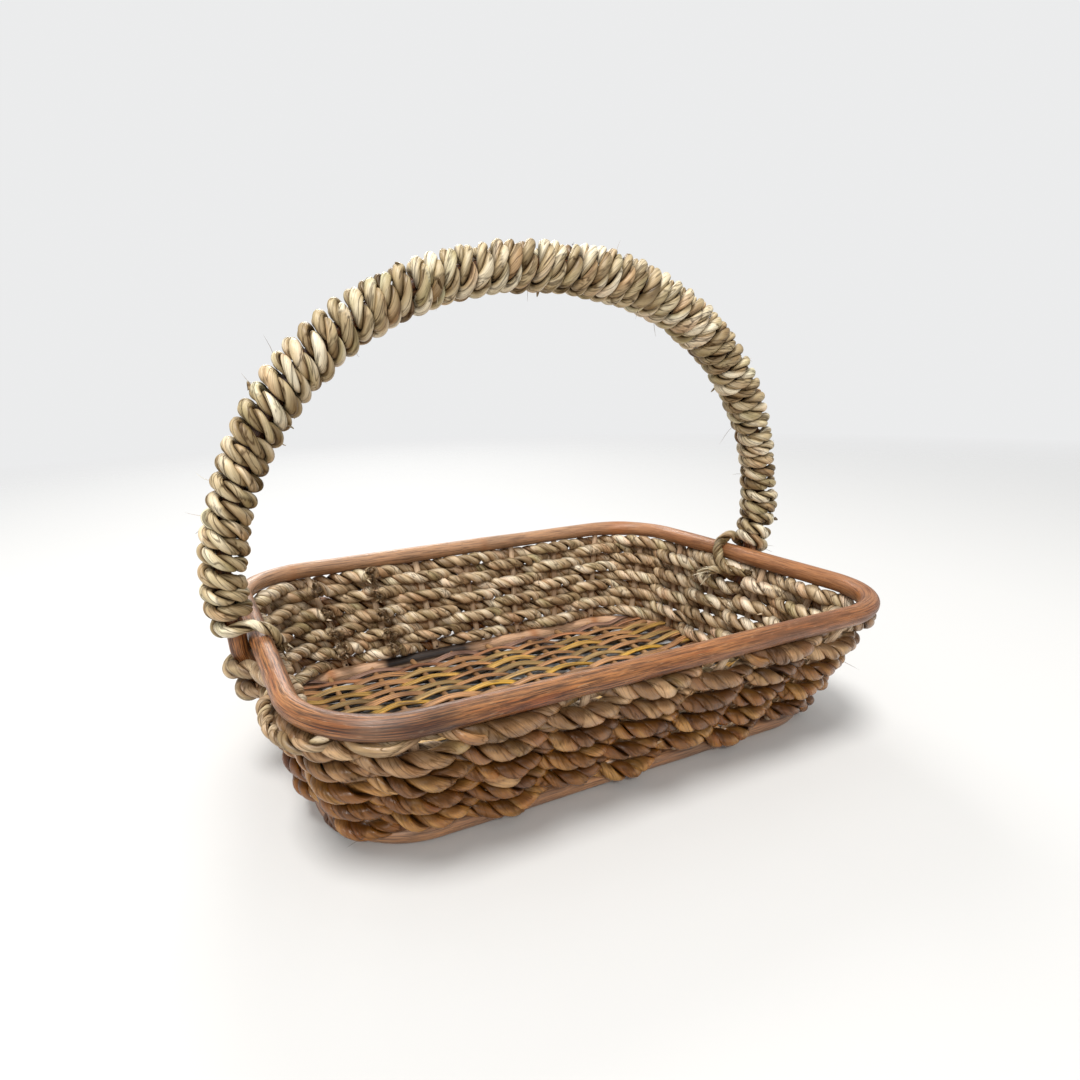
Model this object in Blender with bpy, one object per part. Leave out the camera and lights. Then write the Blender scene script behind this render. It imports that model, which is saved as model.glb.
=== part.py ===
"""Bread basket: rattan hoops, cane stakes, rope walls, a split-cane floor and a rope-wrapped bow handle.

Metres, +Z up. The basket stands on the plane z = 0 with its long side and its handle along X.
"""
import math

import bmesh
import bpy
from mathutils import Matrix, Vector

# Driving dimensions
RIM_LENGTH = 0.345          # outside of the rim, along X
RIM_WIDTH = 0.255           # outside of the rim, along Y
WALL_HEIGHT = 0.085         # ground to the top of the rim
RIM_RADIUS = 0.0055         # rattan pole of the rim, across its flats
RIM_CORNER = 0.047          # corner radius of the rim's centre line
BASE_RADIUS = 0.0050        # rattan pole of the base, across its flats
BASE_HALF_LENGTH = 0.1541   # base hoop's centre line
BASE_HALF_WIDTH = 0.0960
BASE_CORNER = 0.0460
STAKE_COUNT = 26
STAKE_SHIFT = 0.1           # first stake's distance from the middle of the back side, in stake spacings
STAKE_RADIUS = 0.0020
ROW_COUNT = 9
FIRST_ROW_Z = 0.0140
ROW_PITCH = 0.0070
ROPE_RADIUS = 0.00325
ROPE_END_GAP = 0.11         # from a rope's end to the stake its row starts at, in stake spacings
ROPE_END_TURN = 0.0042      # how far a rope's ends are turned in from the wall
HANDLE_HALF_WIDTH = 0.181   # arch's centre line
HANDLE_SPRING_Z = 0.080
HANDLE_RISE = 0.1685
HANDLE_SQUARENESS = 2.16    # exponent of the arch's superellipse: 2 is an ellipse
POLE_RADIUS = 0.0049
POLE_TIP_RADIUS = 0.0029
POLE_TIP_X = 0.1687
POLE_TIP_Z = 0.047
POLE_BESIDE_RIM = (0.075, 0.084)    # heights between which the pole stands upright
ARCH_JOIN_Z = 0.112                 # height above which the pole follows the arch
WRAP_RADIUS = 0.0087        # centre of the wrapping rope, from the pole's axis
WRAP_ROPE_RADIUS = 0.0030
WRAP_PITCH = 0.0085
WRAP_STEPS = 8              # corners in one turn of the coil
WRAP_START_Z = 0.092
RIB_COUNT = 8
RIB_PITCH = 0.032
RIB_RADIUS = 0.0016
FIRST_RIB_X = -0.119
SPLICE_TURN = math.radians(26)      # the base hoop's joint: how far round its front left corner
SPLICE_HALF = 0.0072
SPLICE_SHOULDER = 0.0022
SPLICE_THINNING = 0.75
STRAND_COUNT = 7
PASSES_PER_STRAND = 4
STRAND_PITCH = 0.0061
STRAND_WIDTH = 0.0044
STRAND_THICKNESS = 0.0012
FLOOR_EDGE_Z = 0.0055
FLOOR_CROWN = 0.0030        # how much the floor's middle stands above its edges
SOCKET_DEPTH = 0.0030
GAP = 0.0003                # left between pieces that touch

# Worked out from them
RIM_Z = WALL_HEIGHT - RIM_RADIUS
BASE_Z = BASE_RADIUS
RIM_HALF_LENGTH = RIM_LENGTH / 2 - RIM_RADIUS
RIM_HALF_WIDTH = RIM_WIDTH / 2 - RIM_RADIUS
FLAT = math.cos(math.pi / 8)                    # an octagon's inner radius for an outer radius of 1
WEAVE_OFFSET = STAKE_RADIUS + GAP + ROPE_RADIUS  # rope's centre from a stake's centre
LEFT_POLE = STAKE_COUNT / 4 + STAKE_SHIFT       # the handle's places, counted in stakes
RIGHT_POLE = LEFT_POLE + STAKE_COUNT / 2
POLE_CLEAR_X = RIM_LENGTH / 2 + GAP + POLE_RADIUS
ROPE_BEND_TURN = math.radians(56)               # how far a rope bends round the pole on each side
ROPE_BEND_RINGS = (0.0, 0.0030, 0.0055, 0.0080, 0.0120, 0.0175, 0.0210)
ROPE_BEND_REACH = 0.0135                        # the plain weave's rings stop this far from the pole

ROPE_SIDES = 5
ROUND = 2                                       # bevel resolution of a curve with eight sides
HEXAGON = 1

MATERIALS = {
    "rattan_pole": ((0.36, 0.165, 0.072), 0.42),
    "seagrass_wall": ((0.26, 0.155, 0.078), 0.75),
    "seagrass_handle": ((0.40, 0.30, 0.16), 0.80),
    "cane_stake": ((0.50, 0.34, 0.22), 0.70),
    "cane_rib": ((0.30, 0.17, 0.085), 0.70),
    "cane_brown": ((0.30, 0.155, 0.070), 0.60),
    "cane_yellow": ((0.60, 0.36, 0.09), 0.55),
    "cane_binding": ((0.085, 0.034, 0.010), 0.55),
}


def clear_scene():
    for item in list(bpy.data.objects):
        bpy.data.objects.remove(item, do_unlink=True)


def new_collection(name):
    group = bpy.data.collections.new(name)
    bpy.context.scene.collection.children.link(group)
    return group


def make_material(name, colour, roughness):
    material = bpy.data.materials.new(name)
    material.use_nodes = True
    shader = material.node_tree.nodes["Principled BSDF"]
    shader.inputs["Base Color"].default_value = (*colour, 1.0)
    shader.inputs["Roughness"].default_value = roughness
    shader.inputs["Metallic"].default_value = 0.0
    material.diffuse_color = (*colour, 1.0)
    return material


# Loops and walls

def loop_length(half_length, half_width, corner):
    straight = half_length - corner + half_width - corner
    return 4 * straight + math.tau * corner


def loop_point(half_length, half_width, corner, fraction):
    """Point of a rounded rectangle, running anticlockwise from the middle of its back side."""
    straight_x = half_length - corner
    straight_y = half_width - corner
    arc = corner * math.pi / 2
    half = loop_length(half_length, half_width, corner) / 2
    travel = (fraction % 1.0) * 2 * half
    turned = 1.0
    if travel > half:
        travel -= half
        turned = -1.0
    mirrored = 1.0
    if travel > half / 2:
        travel = half - travel
        mirrored = -1.0
    if travel <= straight_x:
        x, y = -travel, half_width
    elif travel <= straight_x + arc:
        angle = (travel - straight_x) / corner
        x = -straight_x - corner * math.sin(angle)
        y = straight_y + corner * math.cos(angle)
    else:
        x, y = -half_length, straight_y - (travel - straight_x - arc)
    return turned * x, turned * mirrored * y


def base_point(fraction):
    return Vector((*loop_point(BASE_HALF_LENGTH, BASE_HALF_WIDTH, BASE_CORNER, fraction), BASE_Z))


def rim_point(fraction):
    return Vector((*loop_point(RIM_HALF_LENGTH, RIM_HALF_WIDTH, RIM_CORNER, fraction), RIM_Z))


def stake_fraction(place):
    """Fraction of a loop at a place counted in stakes; whole numbers are the stakes."""
    return (place - STAKE_SHIFT) / STAKE_COUNT


def wall_frame(place, height):
    """Point of the wall's middle surface, with its outward normal."""
    fraction = stake_fraction(place)
    foot, head = base_point(fraction), rim_point(fraction)
    rise = (height - BASE_Z) / (RIM_Z - BASE_Z)
    step = 0.02 / STAKE_COUNT
    ahead = base_point(fraction + step).lerp(rim_point(fraction + step), rise)
    behind = base_point(fraction - step).lerp(rim_point(fraction - step), rise)
    slope = (head - foot).normalized()
    along = (ahead - behind).normalized()
    return foot.lerp(head, rise), along.cross(slope).normalized()


def stake_spacing(height):
    low = loop_length(BASE_HALF_LENGTH, BASE_HALF_WIDTH, BASE_CORNER)
    high = loop_length(RIM_HALF_LENGTH, RIM_HALF_WIDTH, RIM_CORNER)
    rise = (height - BASE_Z) / (RIM_Z - BASE_Z)
    return (low + (high - low) * rise) / STAKE_COUNT


# Curves and solids

def new_curve(name, points, material, group, cyclic=False, scales=None, tilt=0.0, twist="Z_UP"):
    """A straight-segment curve through the points, still without a section."""
    curve = bpy.data.curves.new(name, "CURVE")
    curve.dimensions = "3D"
    curve.twist_mode = twist
    curve.use_fill_caps = not cyclic
    spline = curve.splines.new("POLY")
    spline.points.add(len(points) - 1)
    for index, point in enumerate(points):
        spline.points[index].co = (*point, 1.0)
        spline.points[index].tilt = tilt
        spline.points[index].radius = scales[index] if scales else 1.0
    spline.use_cyclic_u = cyclic
    item = bpy.data.objects.new(name, curve)
    group.objects.link(item)
    curve.materials.append(material)
    return item


def round_section(item, radius, resolution):
    item.data.bevel_mode = "ROUND"
    item.data.bevel_depth = radius
    item.data.bevel_resolution = resolution
    return item


def outline_section(item, outline):
    """Gives a curve a flat outline as its section, and makes it a mesh, which turns its caps outwards."""
    item.data.bevel_mode = "OBJECT"
    item.data.bevel_object = outline
    return as_mesh(item)


def section_outline(name, corners, group):
    """A closed flat outline, used as the section of other curves."""
    curve = bpy.data.curves.new(name, "CURVE")
    curve.dimensions = "2D"
    curve.fill_mode = "NONE"
    spline = curve.splines.new("POLY")
    spline.points.add(len(corners) - 1)
    for point, (x, y) in zip(spline.points, corners):
        point.co = (x, y, 0.0, 1.0)
    spline.use_cyclic_u = True
    item = bpy.data.objects.new(name, curve)
    group.objects.link(item)
    hide_as_guide(item)
    return item


def regular_corners(radius, sides):
    return [(radius * math.cos(math.tau * side / sides), radius * math.sin(math.tau * side / sides))
            for side in range(sides)]


def hide_as_guide(item):
    item.hide_render = True
    item.display_type = "WIRE"


def as_mesh(item):
    """Turns a curve object into a welded mesh object of the same name, ready for a Boolean."""
    bpy.context.view_layer.update()
    name = item.name
    group = item.users_collection[0]
    evaluated = item.evaluated_get(bpy.context.evaluated_depsgraph_get())
    mesh = bpy.data.meshes.new_from_object(evaluated)
    shell = bmesh.new()
    shell.from_mesh(mesh)
    bmesh.ops.remove_doubles(shell, verts=shell.verts, dist=0.00001)
    bmesh.ops.recalc_face_normals(shell, faces=shell.faces)
    shell.to_mesh(mesh)
    shell.free()
    place = item.matrix_world.copy()
    bpy.data.objects.remove(item, do_unlink=True)
    solid = bpy.data.objects.new(name, mesh)
    solid.matrix_world = place
    group.objects.link(solid)
    return solid


def hexagonal_rod(name, low, high, radius, material, group):
    """A six-sided rod from one point to another; its material is left out for a cutter."""
    axis = high - low
    shell = bmesh.new()
    bmesh.ops.create_cone(shell, cap_ends=True, segments=6, radius1=radius, radius2=radius, depth=axis.length)
    mesh = bpy.data.meshes.new(name)
    shell.to_mesh(mesh)
    shell.free()
    item = bpy.data.objects.new(name, mesh)
    turn = axis.to_track_quat("Z", "Y").to_matrix().to_4x4()
    item.matrix_world = Matrix.Translation((low + high) / 2) @ turn
    group.objects.link(item)
    if material:
        mesh.materials.append(material)
    else:
        hide_as_guide(item)
    return item


def drill(item, sockets):
    """Cuts every rod of a collection out of a mesh object."""
    cut = item.modifiers.new("sockets", "BOOLEAN")
    cut.operation = "DIFFERENCE"
    cut.operand_type = "COLLECTION"
    cut.collection = sockets
    cut.solver = "EXACT"


# Frame

def loop_places(straight_x, straight_y, corner, corner_steps):
    """Fractions of a loop: the ends of its four straights and the steps of its corners."""
    length = 4 * (straight_x + straight_y) + math.tau * corner
    arc = corner * math.pi / 2
    travel = straight_x
    places = []
    for straight in (straight_y, straight_x, straight_y, straight_x):
        places += [travel + arc * step / corner_steps for step in range(corner_steps + 1)]
        travel += arc + 2 * straight
    return [place / length for place in places]


def rim_hoop(materials, group):
    places = loop_places(RIM_HALF_LENGTH - RIM_CORNER, RIM_HALF_WIDTH - RIM_CORNER, RIM_CORNER, 7)
    hoop = new_curve("rim_hoop", [rim_point(place) for place in places], materials["rattan_pole"], group,
                     cyclic=True, tilt=math.pi / 8)
    return as_mesh(round_section(hoop, RIM_RADIUS / FLAT, ROUND))


def splice_places():
    """Fractions of the base loop at the ends of the thinned joint, and the length of its shoulders."""
    length = loop_length(BASE_HALF_LENGTH, BASE_HALF_WIDTH, BASE_CORNER)
    middle = 0.25 + (BASE_HALF_WIDTH - BASE_CORNER + BASE_CORNER * SPLICE_TURN) / length
    return middle - SPLICE_HALF / length, middle + SPLICE_HALF / length, SPLICE_SHOULDER / length


def base_hoop(materials, group):
    """The hoop that the basket stands on, on its lower flat; it is shaved thinner at its joint."""
    start, end, taper = splice_places()
    places = loop_places(BASE_HALF_LENGTH - BASE_CORNER, BASE_HALF_WIDTH - BASE_CORNER, BASE_CORNER, 7)
    places = [place for place in places if not start - 2 * taper < place < end + 2 * taper]
    places = sorted(places + [start - taper, start, (start + end) / 2, end, end + taper])
    scales = [SPLICE_THINNING if start <= place <= end else 1.0 for place in places]
    hoop = new_curve("base_hoop", [base_point(place) for place in places], materials["rattan_pole"], group,
                     cyclic=True, scales=scales, tilt=math.pi / 8)
    return as_mesh(round_section(hoop, BASE_RADIUS / FLAT, ROUND))


def base_binding(materials, group, sockets):
    """Cane wound four times round the base hoop's joint: a ridged sleeve, bored to clear the hoop."""
    start, end, taper = splice_places()
    bore_radius = BASE_RADIUS / FLAT * SPLICE_THINNING + GAP / FLAT
    valley, ridge = 0.00475, 0.00530
    turns = 4
    inset = 0.10
    steps = 2 * turns
    places = [start + (end - start) * (inset + (1 - 2 * inset) * step / steps) for step in range(steps + 1)]
    scales = [ridge if step % 2 else valley for step in range(steps + 1)]
    sleeve = new_curve("base_splice_binding", [base_point(place) for place in places],
                       materials["cane_binding"], group, scales=scales, tilt=math.pi / 8)
    sleeve = as_mesh(round_section(sleeve, 1.0, ROUND))
    bore_places = [start - taper / 2] + places + [end + taper / 2]
    bore = new_curve("binding_bore", [base_point(place) for place in bore_places],
                     materials["cane_binding"], sockets, tilt=math.pi / 8)
    bore = as_mesh(round_section(bore, bore_radius, ROUND))
    hide_as_guide(bore)
    cut = sleeve.modifiers.new("bore", "BOOLEAN")
    cut.operation = "DIFFERENCE"
    cut.object = bore
    cut.solver = "EXACT"


def stake_span(place, low_depth, high_depth):
    """End points of a line up the wall, at distances from the two hoops' centre lines."""
    fraction = stake_fraction(place)
    foot, head = base_point(fraction), rim_point(fraction)
    slope = (head - foot).normalized()
    return foot + slope * low_depth, head - slope * high_depth


def stakes(materials, group, rim_sockets, base_sockets):
    base_depth = BASE_RADIUS - SOCKET_DEPTH + GAP
    rim_depth = RIM_RADIUS - SOCKET_DEPTH + GAP
    clearance = GAP / math.cos(math.pi / 6)
    for number in range(STAKE_COUNT):
        low, high = stake_span(number, base_depth, rim_depth)
        hexagonal_rod(f"stake_{number + 1:02d}", low, high, STAKE_RADIUS, materials["cane_stake"], group)
        axis = (high - low).normalized()
        reach = axis * 3 * SOCKET_DEPTH
        bottom, top = low - axis * GAP, high + axis * GAP
        socket_radius = STAKE_RADIUS + clearance
        label = f"{number + 1:02d}"
        hexagonal_rod(f"foot_socket_{label}", bottom, bottom + reach, socket_radius, None, base_sockets)
        hexagonal_rod(f"head_socket_{label}", top - reach, top, socket_radius, None, rim_sockets)


# Handle

def arch_point(angle):
    """Point (x, z) of the arch's superellipse; 0 is its right spring and pi its left one."""
    power = 2 / HANDLE_SQUARENESS
    x = HANDLE_HALF_WIDTH * math.copysign(abs(math.cos(angle)) ** power, math.cos(angle))
    z = HANDLE_SPRING_Z + HANDLE_RISE * math.sin(angle) ** power
    return x, z


def leg_x(height):
    """Distance of the handle's pole from the middle, below the point where it joins the arch."""
    upright_low, upright_high = POLE_BESIDE_RIM
    if height <= upright_low:
        return POLE_TIP_X + (POLE_CLEAR_X - POLE_TIP_X) * (height - POLE_TIP_Z) / (upright_low - POLE_TIP_Z)
    if height <= upright_high:
        return POLE_CLEAR_X
    share = (height - upright_high) / (ARCH_JOIN_Z - upright_high)
    lean = 1 - share * share * (3 - 2 * share)
    rise = (height - HANDLE_SPRING_Z) / HANDLE_RISE
    arch_x = HANDLE_HALF_WIDTH * (1 - rise ** HANDLE_SQUARENESS) ** (1 / HANDLE_SQUARENESS)
    return arch_x - lean * (HANDLE_HALF_WIDTH - POLE_CLEAR_X)


def pole_radius(height):
    """The pole's feet are shaved down, so that they slip between the wall's ropes."""
    share = (height - POLE_TIP_Z) / (POLE_BESIDE_RIM[0] - POLE_TIP_Z)
    return POLE_TIP_RADIUS + (POLE_RADIUS - POLE_TIP_RADIUS) * min(1.0, max(0.0, share))


def handle_centre_line(leg_heights, arch_steps):
    """Points from the left foot over the arch to the right foot, in the plane y = 0."""
    join = math.asin(((ARCH_JOIN_Z - HANDLE_SPRING_Z) / HANDLE_RISE) ** (HANDLE_SQUARENESS / 2))
    left = [Vector((-leg_x(height), 0.0, height)) for height in leg_heights]
    arch = []
    for step in range(arch_steps + 1):
        x, z = arch_point(math.pi - join - (math.pi - 2 * join) * step / arch_steps)
        arch.append(Vector((x, 0.0, z)))
    right = [Vector((-point.x, 0.0, point.z)) for point in reversed(left)]
    return left + arch + right


def handle_pole(materials, group):
    leg_heights = [POLE_TIP_Z, 0.061, POLE_BESIDE_RIM[0], POLE_BESIDE_RIM[1], 0.093, 0.102]
    points = handle_centre_line(leg_heights, 22)
    scales = [pole_radius(point.z) / POLE_RADIUS for point in points]
    pole = new_curve("handle_pole", points, materials["rattan_pole"], group, scales=scales, twist="MINIMUM")
    round_section(pole, POLE_RADIUS, ROUND)


def point_along(points, distance):
    """Point and direction at a distance along a line of points."""
    for start, end in zip(points, points[1:]):
        length = (end - start).length
        if distance <= length:
            return start.lerp(end, distance / length), (end - start).normalized()
        distance -= length
    return points[-1].copy(), (points[-1] - points[-2]).normalized()


def wrap_tail(side):
    """The wrapping rope's end, over the rim; side is -1 left, or 1 right, where it hangs down inside."""
    reach = RIM_RADIUS / FLAT + WRAP_ROPE_RADIUS + 0.0006
    points = [Vector((RIM_HALF_LENGTH + 0.0050, 0.0108, RIM_Z + reach + 0.0018))]
    for step in range(4):
        angle = math.radians(90 + 30 * step)
        points.append(Vector((RIM_HALF_LENGTH + reach * math.cos(angle), 0.0118 + 0.0004 * step,
                              RIM_Z + reach * math.sin(angle))))
    if side > 0:
        points.append(Vector((0.1530, 0.0136, 0.0725)))
        points.append(Vector((0.1520, 0.0140, 0.0650)))
    return [Vector((side * point.x, side * point.y, point.z)) for point in points]


def handle_wrap_rope(materials, group, outline):
    """A rope wound round the whole handle, left-handed, with both its ends tucked over the rim."""
    heights = [WRAP_START_Z + 0.002 * step for step in range(11)]
    line = handle_centre_line([height for height in heights if height < ARCH_JOIN_Z], 120)
    length = sum((end - start).length for start, end in zip(line, line[1:]))
    start_angle = -1.5 * math.tau / WRAP_STEPS
    steps = WRAP_STEPS * round(length / WRAP_PITCH) + 3
    coil = []
    for step in range(steps + 1):
        centre, along = point_along(line, length * step / steps)
        outward = Vector((-along.z, 0.0, along.x))
        across = along.cross(outward)
        angle = start_angle + math.tau * step / WRAP_STEPS
        coil.append(centre + WRAP_RADIUS * (math.cos(angle) * outward - math.sin(angle) * across))
    points = list(reversed(wrap_tail(-1))) + coil + wrap_tail(1)
    rope = new_curve("handle_wrap_rope", points, materials["seagrass_handle"], group, twist="MINIMUM")
    outline_section(rope, outline)


# Woven walls

def passes_outside(row, pole_place):
    """A row goes outside the pole where it goes outside the stake nearest to it."""
    return (row + round(pole_place)) % 2 == 1


def rope_offset(row, height, place):
    """How far a row's rope lies outside the wall's middle surface."""
    first_side = 1.0 if row % 2 else -1.0
    offset = first_side * WEAVE_OFFSET * math.cos(math.pi * place)
    for pole_place in (LEFT_POLE, RIGHT_POLE):
        distance = abs((place - pole_place + STAKE_COUNT / 2) % STAKE_COUNT - STAKE_COUNT / 2)
        if passes_outside(row, pole_place) and height + ROPE_RADIUS > POLE_TIP_Z:
            offset = max(offset, rope_over_pole(height, distance * stake_spacing(height)))
    return offset


def rope_over_pole(height, distance):
    """Offset of a rope that bends round the pole: an arc, then straight runs down to the wall."""
    wall, outward = wall_frame(RIGHT_POLE, height)
    centre = (Vector((leg_x(max(height, POLE_TIP_Z)), 0.0, height)) - wall).dot(outward)
    radius = pole_radius(height) + ROPE_RADIUS + 1.6 * GAP
    arc_half = radius * math.sin(ROPE_BEND_TURN)
    if distance <= arc_half:
        return centre + math.sqrt(radius * radius - distance * distance)
    return centre + radius * math.cos(ROPE_BEND_TURN) - (distance - arc_half) * math.tan(ROPE_BEND_TURN)


def rope_places(row, height):
    """Places of a row's rings: thirds of each stake spacing, and closer ones round the pole."""
    start = 3 if row % 2 else 2
    places = {start + ROPE_END_GAP, start + STAKE_COUNT - ROPE_END_GAP}
    places |= {start + third / 3 for third in range(1, 3 * STAKE_COUNT)}
    spacing = stake_spacing(height)
    for pole_place in (LEFT_POLE, RIGHT_POLE):
        if passes_outside(row, pole_place) and height + ROPE_RADIUS > POLE_TIP_Z:
            steps = {distance / spacing for distance in ROPE_BEND_RINGS}
            near = {pole_place + step for step in steps} | {pole_place - step for step in steps}
            window = ROPE_BEND_REACH / spacing
            places = {place for place in places if abs(place - pole_place) > window} | near
    return sorted(places)


def wall_rope(row, materials, group, outline):
    """One row of the wall: a rope once round the basket, outside one stake and inside the next."""
    height = FIRST_ROW_Z + row * ROW_PITCH
    places = rope_places(row, height)
    points = []
    for place in places:
        middle, outward = wall_frame(place, height)
        offset = rope_offset(row, height, place)
        if place in (places[0], places[-1]):
            offset -= ROPE_END_TURN
        points.append(middle + outward * offset)
    rope = new_curve(f"wall_rope_{row + 1}", points, materials["seagrass_wall"], group)
    outline_section(rope, outline)


# Floor

def floor_height(y):
    """Height of a rib's centre line."""
    return FLOOR_EDGE_Z + FLOOR_CROWN * (1 - (y / BASE_HALF_WIDTH) ** 2)


def floor_rib(number, materials, group, sockets):
    x = FIRST_RIB_X + number * RIB_PITCH
    end = rib_end(x)
    heights = [-1.0, -0.94, -0.5, 0.0, 0.5, 0.94, 1.0]
    points = [Vector((x, share * end, floor_height(min(abs(share), 0.94) * end))) for share in heights]
    rib = new_curve(f"floor_rib_{number + 1}", points, materials["cane_rib"], group)
    round_section(rib, RIB_RADIUS, HEXAGON)
    radius = RIB_RADIUS + 2 * GAP
    for name, side in (("front", -1), ("back", 1)):
        tip = Vector((x, side * (end + GAP), points[0].z))
        mouth = Vector((x, side * (end - 2.4 * SOCKET_DEPTH), points[0].z))
        hexagonal_rod(f"rib_socket_{name}_{number + 1}", mouth, tip, radius, None, sockets)


def hoop_line_y(x):
    """Distance of the base hoop's centre line from the long axis, at a distance along it."""
    beyond = max(0.0, abs(x) - (BASE_HALF_LENGTH - BASE_CORNER))
    return BASE_HALF_WIDTH - BASE_CORNER + math.sqrt(BASE_CORNER ** 2 - beyond ** 2)


def rib_end(x):
    """A rib reaches a little way into the base hoop."""
    return hoop_line_y(x) - BASE_RADIUS + 0.4 * SOCKET_DEPTH


def floor_half_length(y):
    """Half of the room for a strand between the two ends of the base hoop."""
    inner_corner = BASE_CORNER - BASE_RADIUS / FLAT
    beyond = max(0.0, abs(y) + STRAND_WIDTH / 2 - (BASE_HALF_WIDTH - BASE_CORNER))
    reach = BASE_HALF_LENGTH - BASE_CORNER + math.sqrt(inner_corner ** 2 - beyond ** 2)
    return reach - STRAND_WIDTH / 2 - 0.0025


def floor_strand(number, materials, group, outline):
    """A split cane woven back and forth over and under the ribs, four passes wide."""
    first = number * PASSES_PER_STRAND
    total = STRAND_COUNT * PASSES_PER_STRAND
    lift = RIB_RADIUS + GAP + STRAND_THICKNESS / 2
    ys = [(index - (total - 1) / 2) * STRAND_PITCH for index in range(first, first + PASSES_PER_STRAND)]
    points = []
    for order, y in enumerate(ys):
        before = ys[max(order - 1, 0)]
        after = ys[min(order + 1, PASSES_PER_STRAND - 1)]
        heading = 1 if order % 2 == 0 else -1
        start = min(floor_half_length(y), floor_half_length(before))
        end = min(floor_half_length(y), floor_half_length(after))
        row = [Vector((-heading * start, y, floor_height(y)))]
        ribs = range(RIB_COUNT) if heading > 0 else reversed(range(RIB_COUNT))
        for rib in ribs:
            side = 1 if (rib + first + order) % 2 else -1
            row.append(Vector((FIRST_RIB_X + rib * RIB_PITCH, y, floor_height(y) + side * lift)))
        row.append(Vector((heading * end, y, floor_height(y))))
        points += row
    colour = "cane_yellow" if number == STRAND_COUNT // 2 else "cane_brown"
    strand = new_curve(f"floor_strand_{number + 1}", points, materials[colour], group)
    outline_section(strand, outline)


def build():
    clear_scene()
    parts = new_collection("bread_basket")
    guides = new_collection("section_outlines")
    rim_sockets = new_collection("rim_sockets")
    base_sockets = new_collection("base_sockets")
    bores = new_collection("bores")
    materials = {name: make_material(name, *finish) for name, finish in MATERIALS.items()}
    wall_section = section_outline("wall_rope_section", regular_corners(ROPE_RADIUS, ROPE_SIDES), guides)
    wrap_section = section_outline("wrap_rope_section", regular_corners(WRAP_ROPE_RADIUS, ROPE_SIDES), guides)
    half_width, half_thickness = STRAND_WIDTH / 2, STRAND_THICKNESS / 2
    strand_section = section_outline("strand_section",
                                     [(-half_width, -half_thickness), (half_width, -half_thickness),
                                      (half_width, half_thickness), (-half_width, half_thickness)], guides)
    rim = rim_hoop(materials, parts)
    base = base_hoop(materials, parts)
    stakes(materials, parts, rim_sockets, base_sockets)
    for number in range(RIB_COUNT):
        floor_rib(number, materials, parts, base_sockets)
    drill(rim, rim_sockets)
    drill(base, base_sockets)
    base_binding(materials, parts, bores)
    handle_pole(materials, parts)
    handle_wrap_rope(materials, parts, wrap_section)
    for row in range(ROW_COUNT):
        wall_rope(row, materials, parts, wall_section)
    for number in range(STRAND_COUNT):
        floor_strand(number, materials, parts, strand_section)


build()
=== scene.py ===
"""Looks of the bread basket: twisted seagrass ropes, rattan hoops, split cane and a rope-wrapped handle.

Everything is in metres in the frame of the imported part: long side and handle along X, front at -Y, +Z up.
Ropes, poles and strips are skinned as rings of points round dense centre lines. Each point keeps two values
for the materials: "fibre" is its place in the section (x, y) and its distance along the fibres (z), and
"tone" holds three shares whose meaning each material's function gives.
"""
import math

import bpy
import numpy as np
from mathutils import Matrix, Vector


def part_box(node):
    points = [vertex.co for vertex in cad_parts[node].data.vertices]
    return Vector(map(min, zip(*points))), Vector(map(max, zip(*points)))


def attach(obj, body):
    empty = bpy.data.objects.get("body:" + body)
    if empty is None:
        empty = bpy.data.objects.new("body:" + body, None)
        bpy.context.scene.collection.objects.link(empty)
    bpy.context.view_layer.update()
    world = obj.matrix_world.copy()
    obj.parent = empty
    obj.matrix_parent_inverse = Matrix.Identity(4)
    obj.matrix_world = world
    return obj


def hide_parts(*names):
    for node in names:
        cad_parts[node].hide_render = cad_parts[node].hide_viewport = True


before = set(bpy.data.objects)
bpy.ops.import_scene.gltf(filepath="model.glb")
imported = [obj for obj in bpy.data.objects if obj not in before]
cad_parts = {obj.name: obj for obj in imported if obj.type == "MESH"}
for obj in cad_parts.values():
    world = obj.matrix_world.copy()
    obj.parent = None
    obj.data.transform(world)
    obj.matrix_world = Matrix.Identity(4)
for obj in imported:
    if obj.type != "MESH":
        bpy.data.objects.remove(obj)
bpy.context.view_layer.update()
TAU = math.tau

# Basket, as in the frame
RIM_CORNER = 0.047
CORNER_STEPS = 64               # points on each rounded corner of a hoop
BASE_CORNER = 0.046
STAKE_COUNT = sum(name.startswith("stake_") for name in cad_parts)
ROW_COUNT = sum(name.startswith("wall_rope_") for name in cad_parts)
RIB_COUNT = sum(name.startswith("floor_rib_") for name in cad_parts)
STAKE_SHIFT = 0.1               # first stake's distance from the middle of the back side, in stake spacings
WEAVE_OFFSET = 0.00555          # a rope's centre from a stake's centre
LEFT_POLE = STAKE_COUNT / 4 + STAKE_SHIFT
RIGHT_POLE = LEFT_POLE + STAKE_COUNT / 2

# Handle, as in the frame
HANDLE_HALF_WIDTH = 0.181
HANDLE_SPRING_Z = 0.080
HANDLE_RISE = 0.1685
HANDLE_SQUARENESS = 2.16
ARCH_JOIN_Z = 0.112
POLE_RADIUS = 0.0049
POLE_TIP_RADIUS = 0.0029
POLE_TIP = (0.1687, 0.047)      # x and z of its foot
POLE_UPRIGHT = (0.075, 0.084)   # heights between which it stands upright beside the rim
WRAP_RADIUS = 0.0079
WRAP_PITCH = 0.0083
WRAP_LOW_Z = (0.0900, 0.0842)   # where the coil's middle starts on the left leg and ends on the right one
WRAP_TILT = 0.0040              # how much the lowest turns rise toward the rim

# Camera, low and close in front of the left corner
CAMERA_PLACE = (-0.18846, -0.31863, 0.19810)
CAMERA_TURN = (64.480, 1.652, -24.862)
CAMERA_LENS = 20.522
CAMERA_SHIFT = (0.06264, 0.12417)


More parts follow.
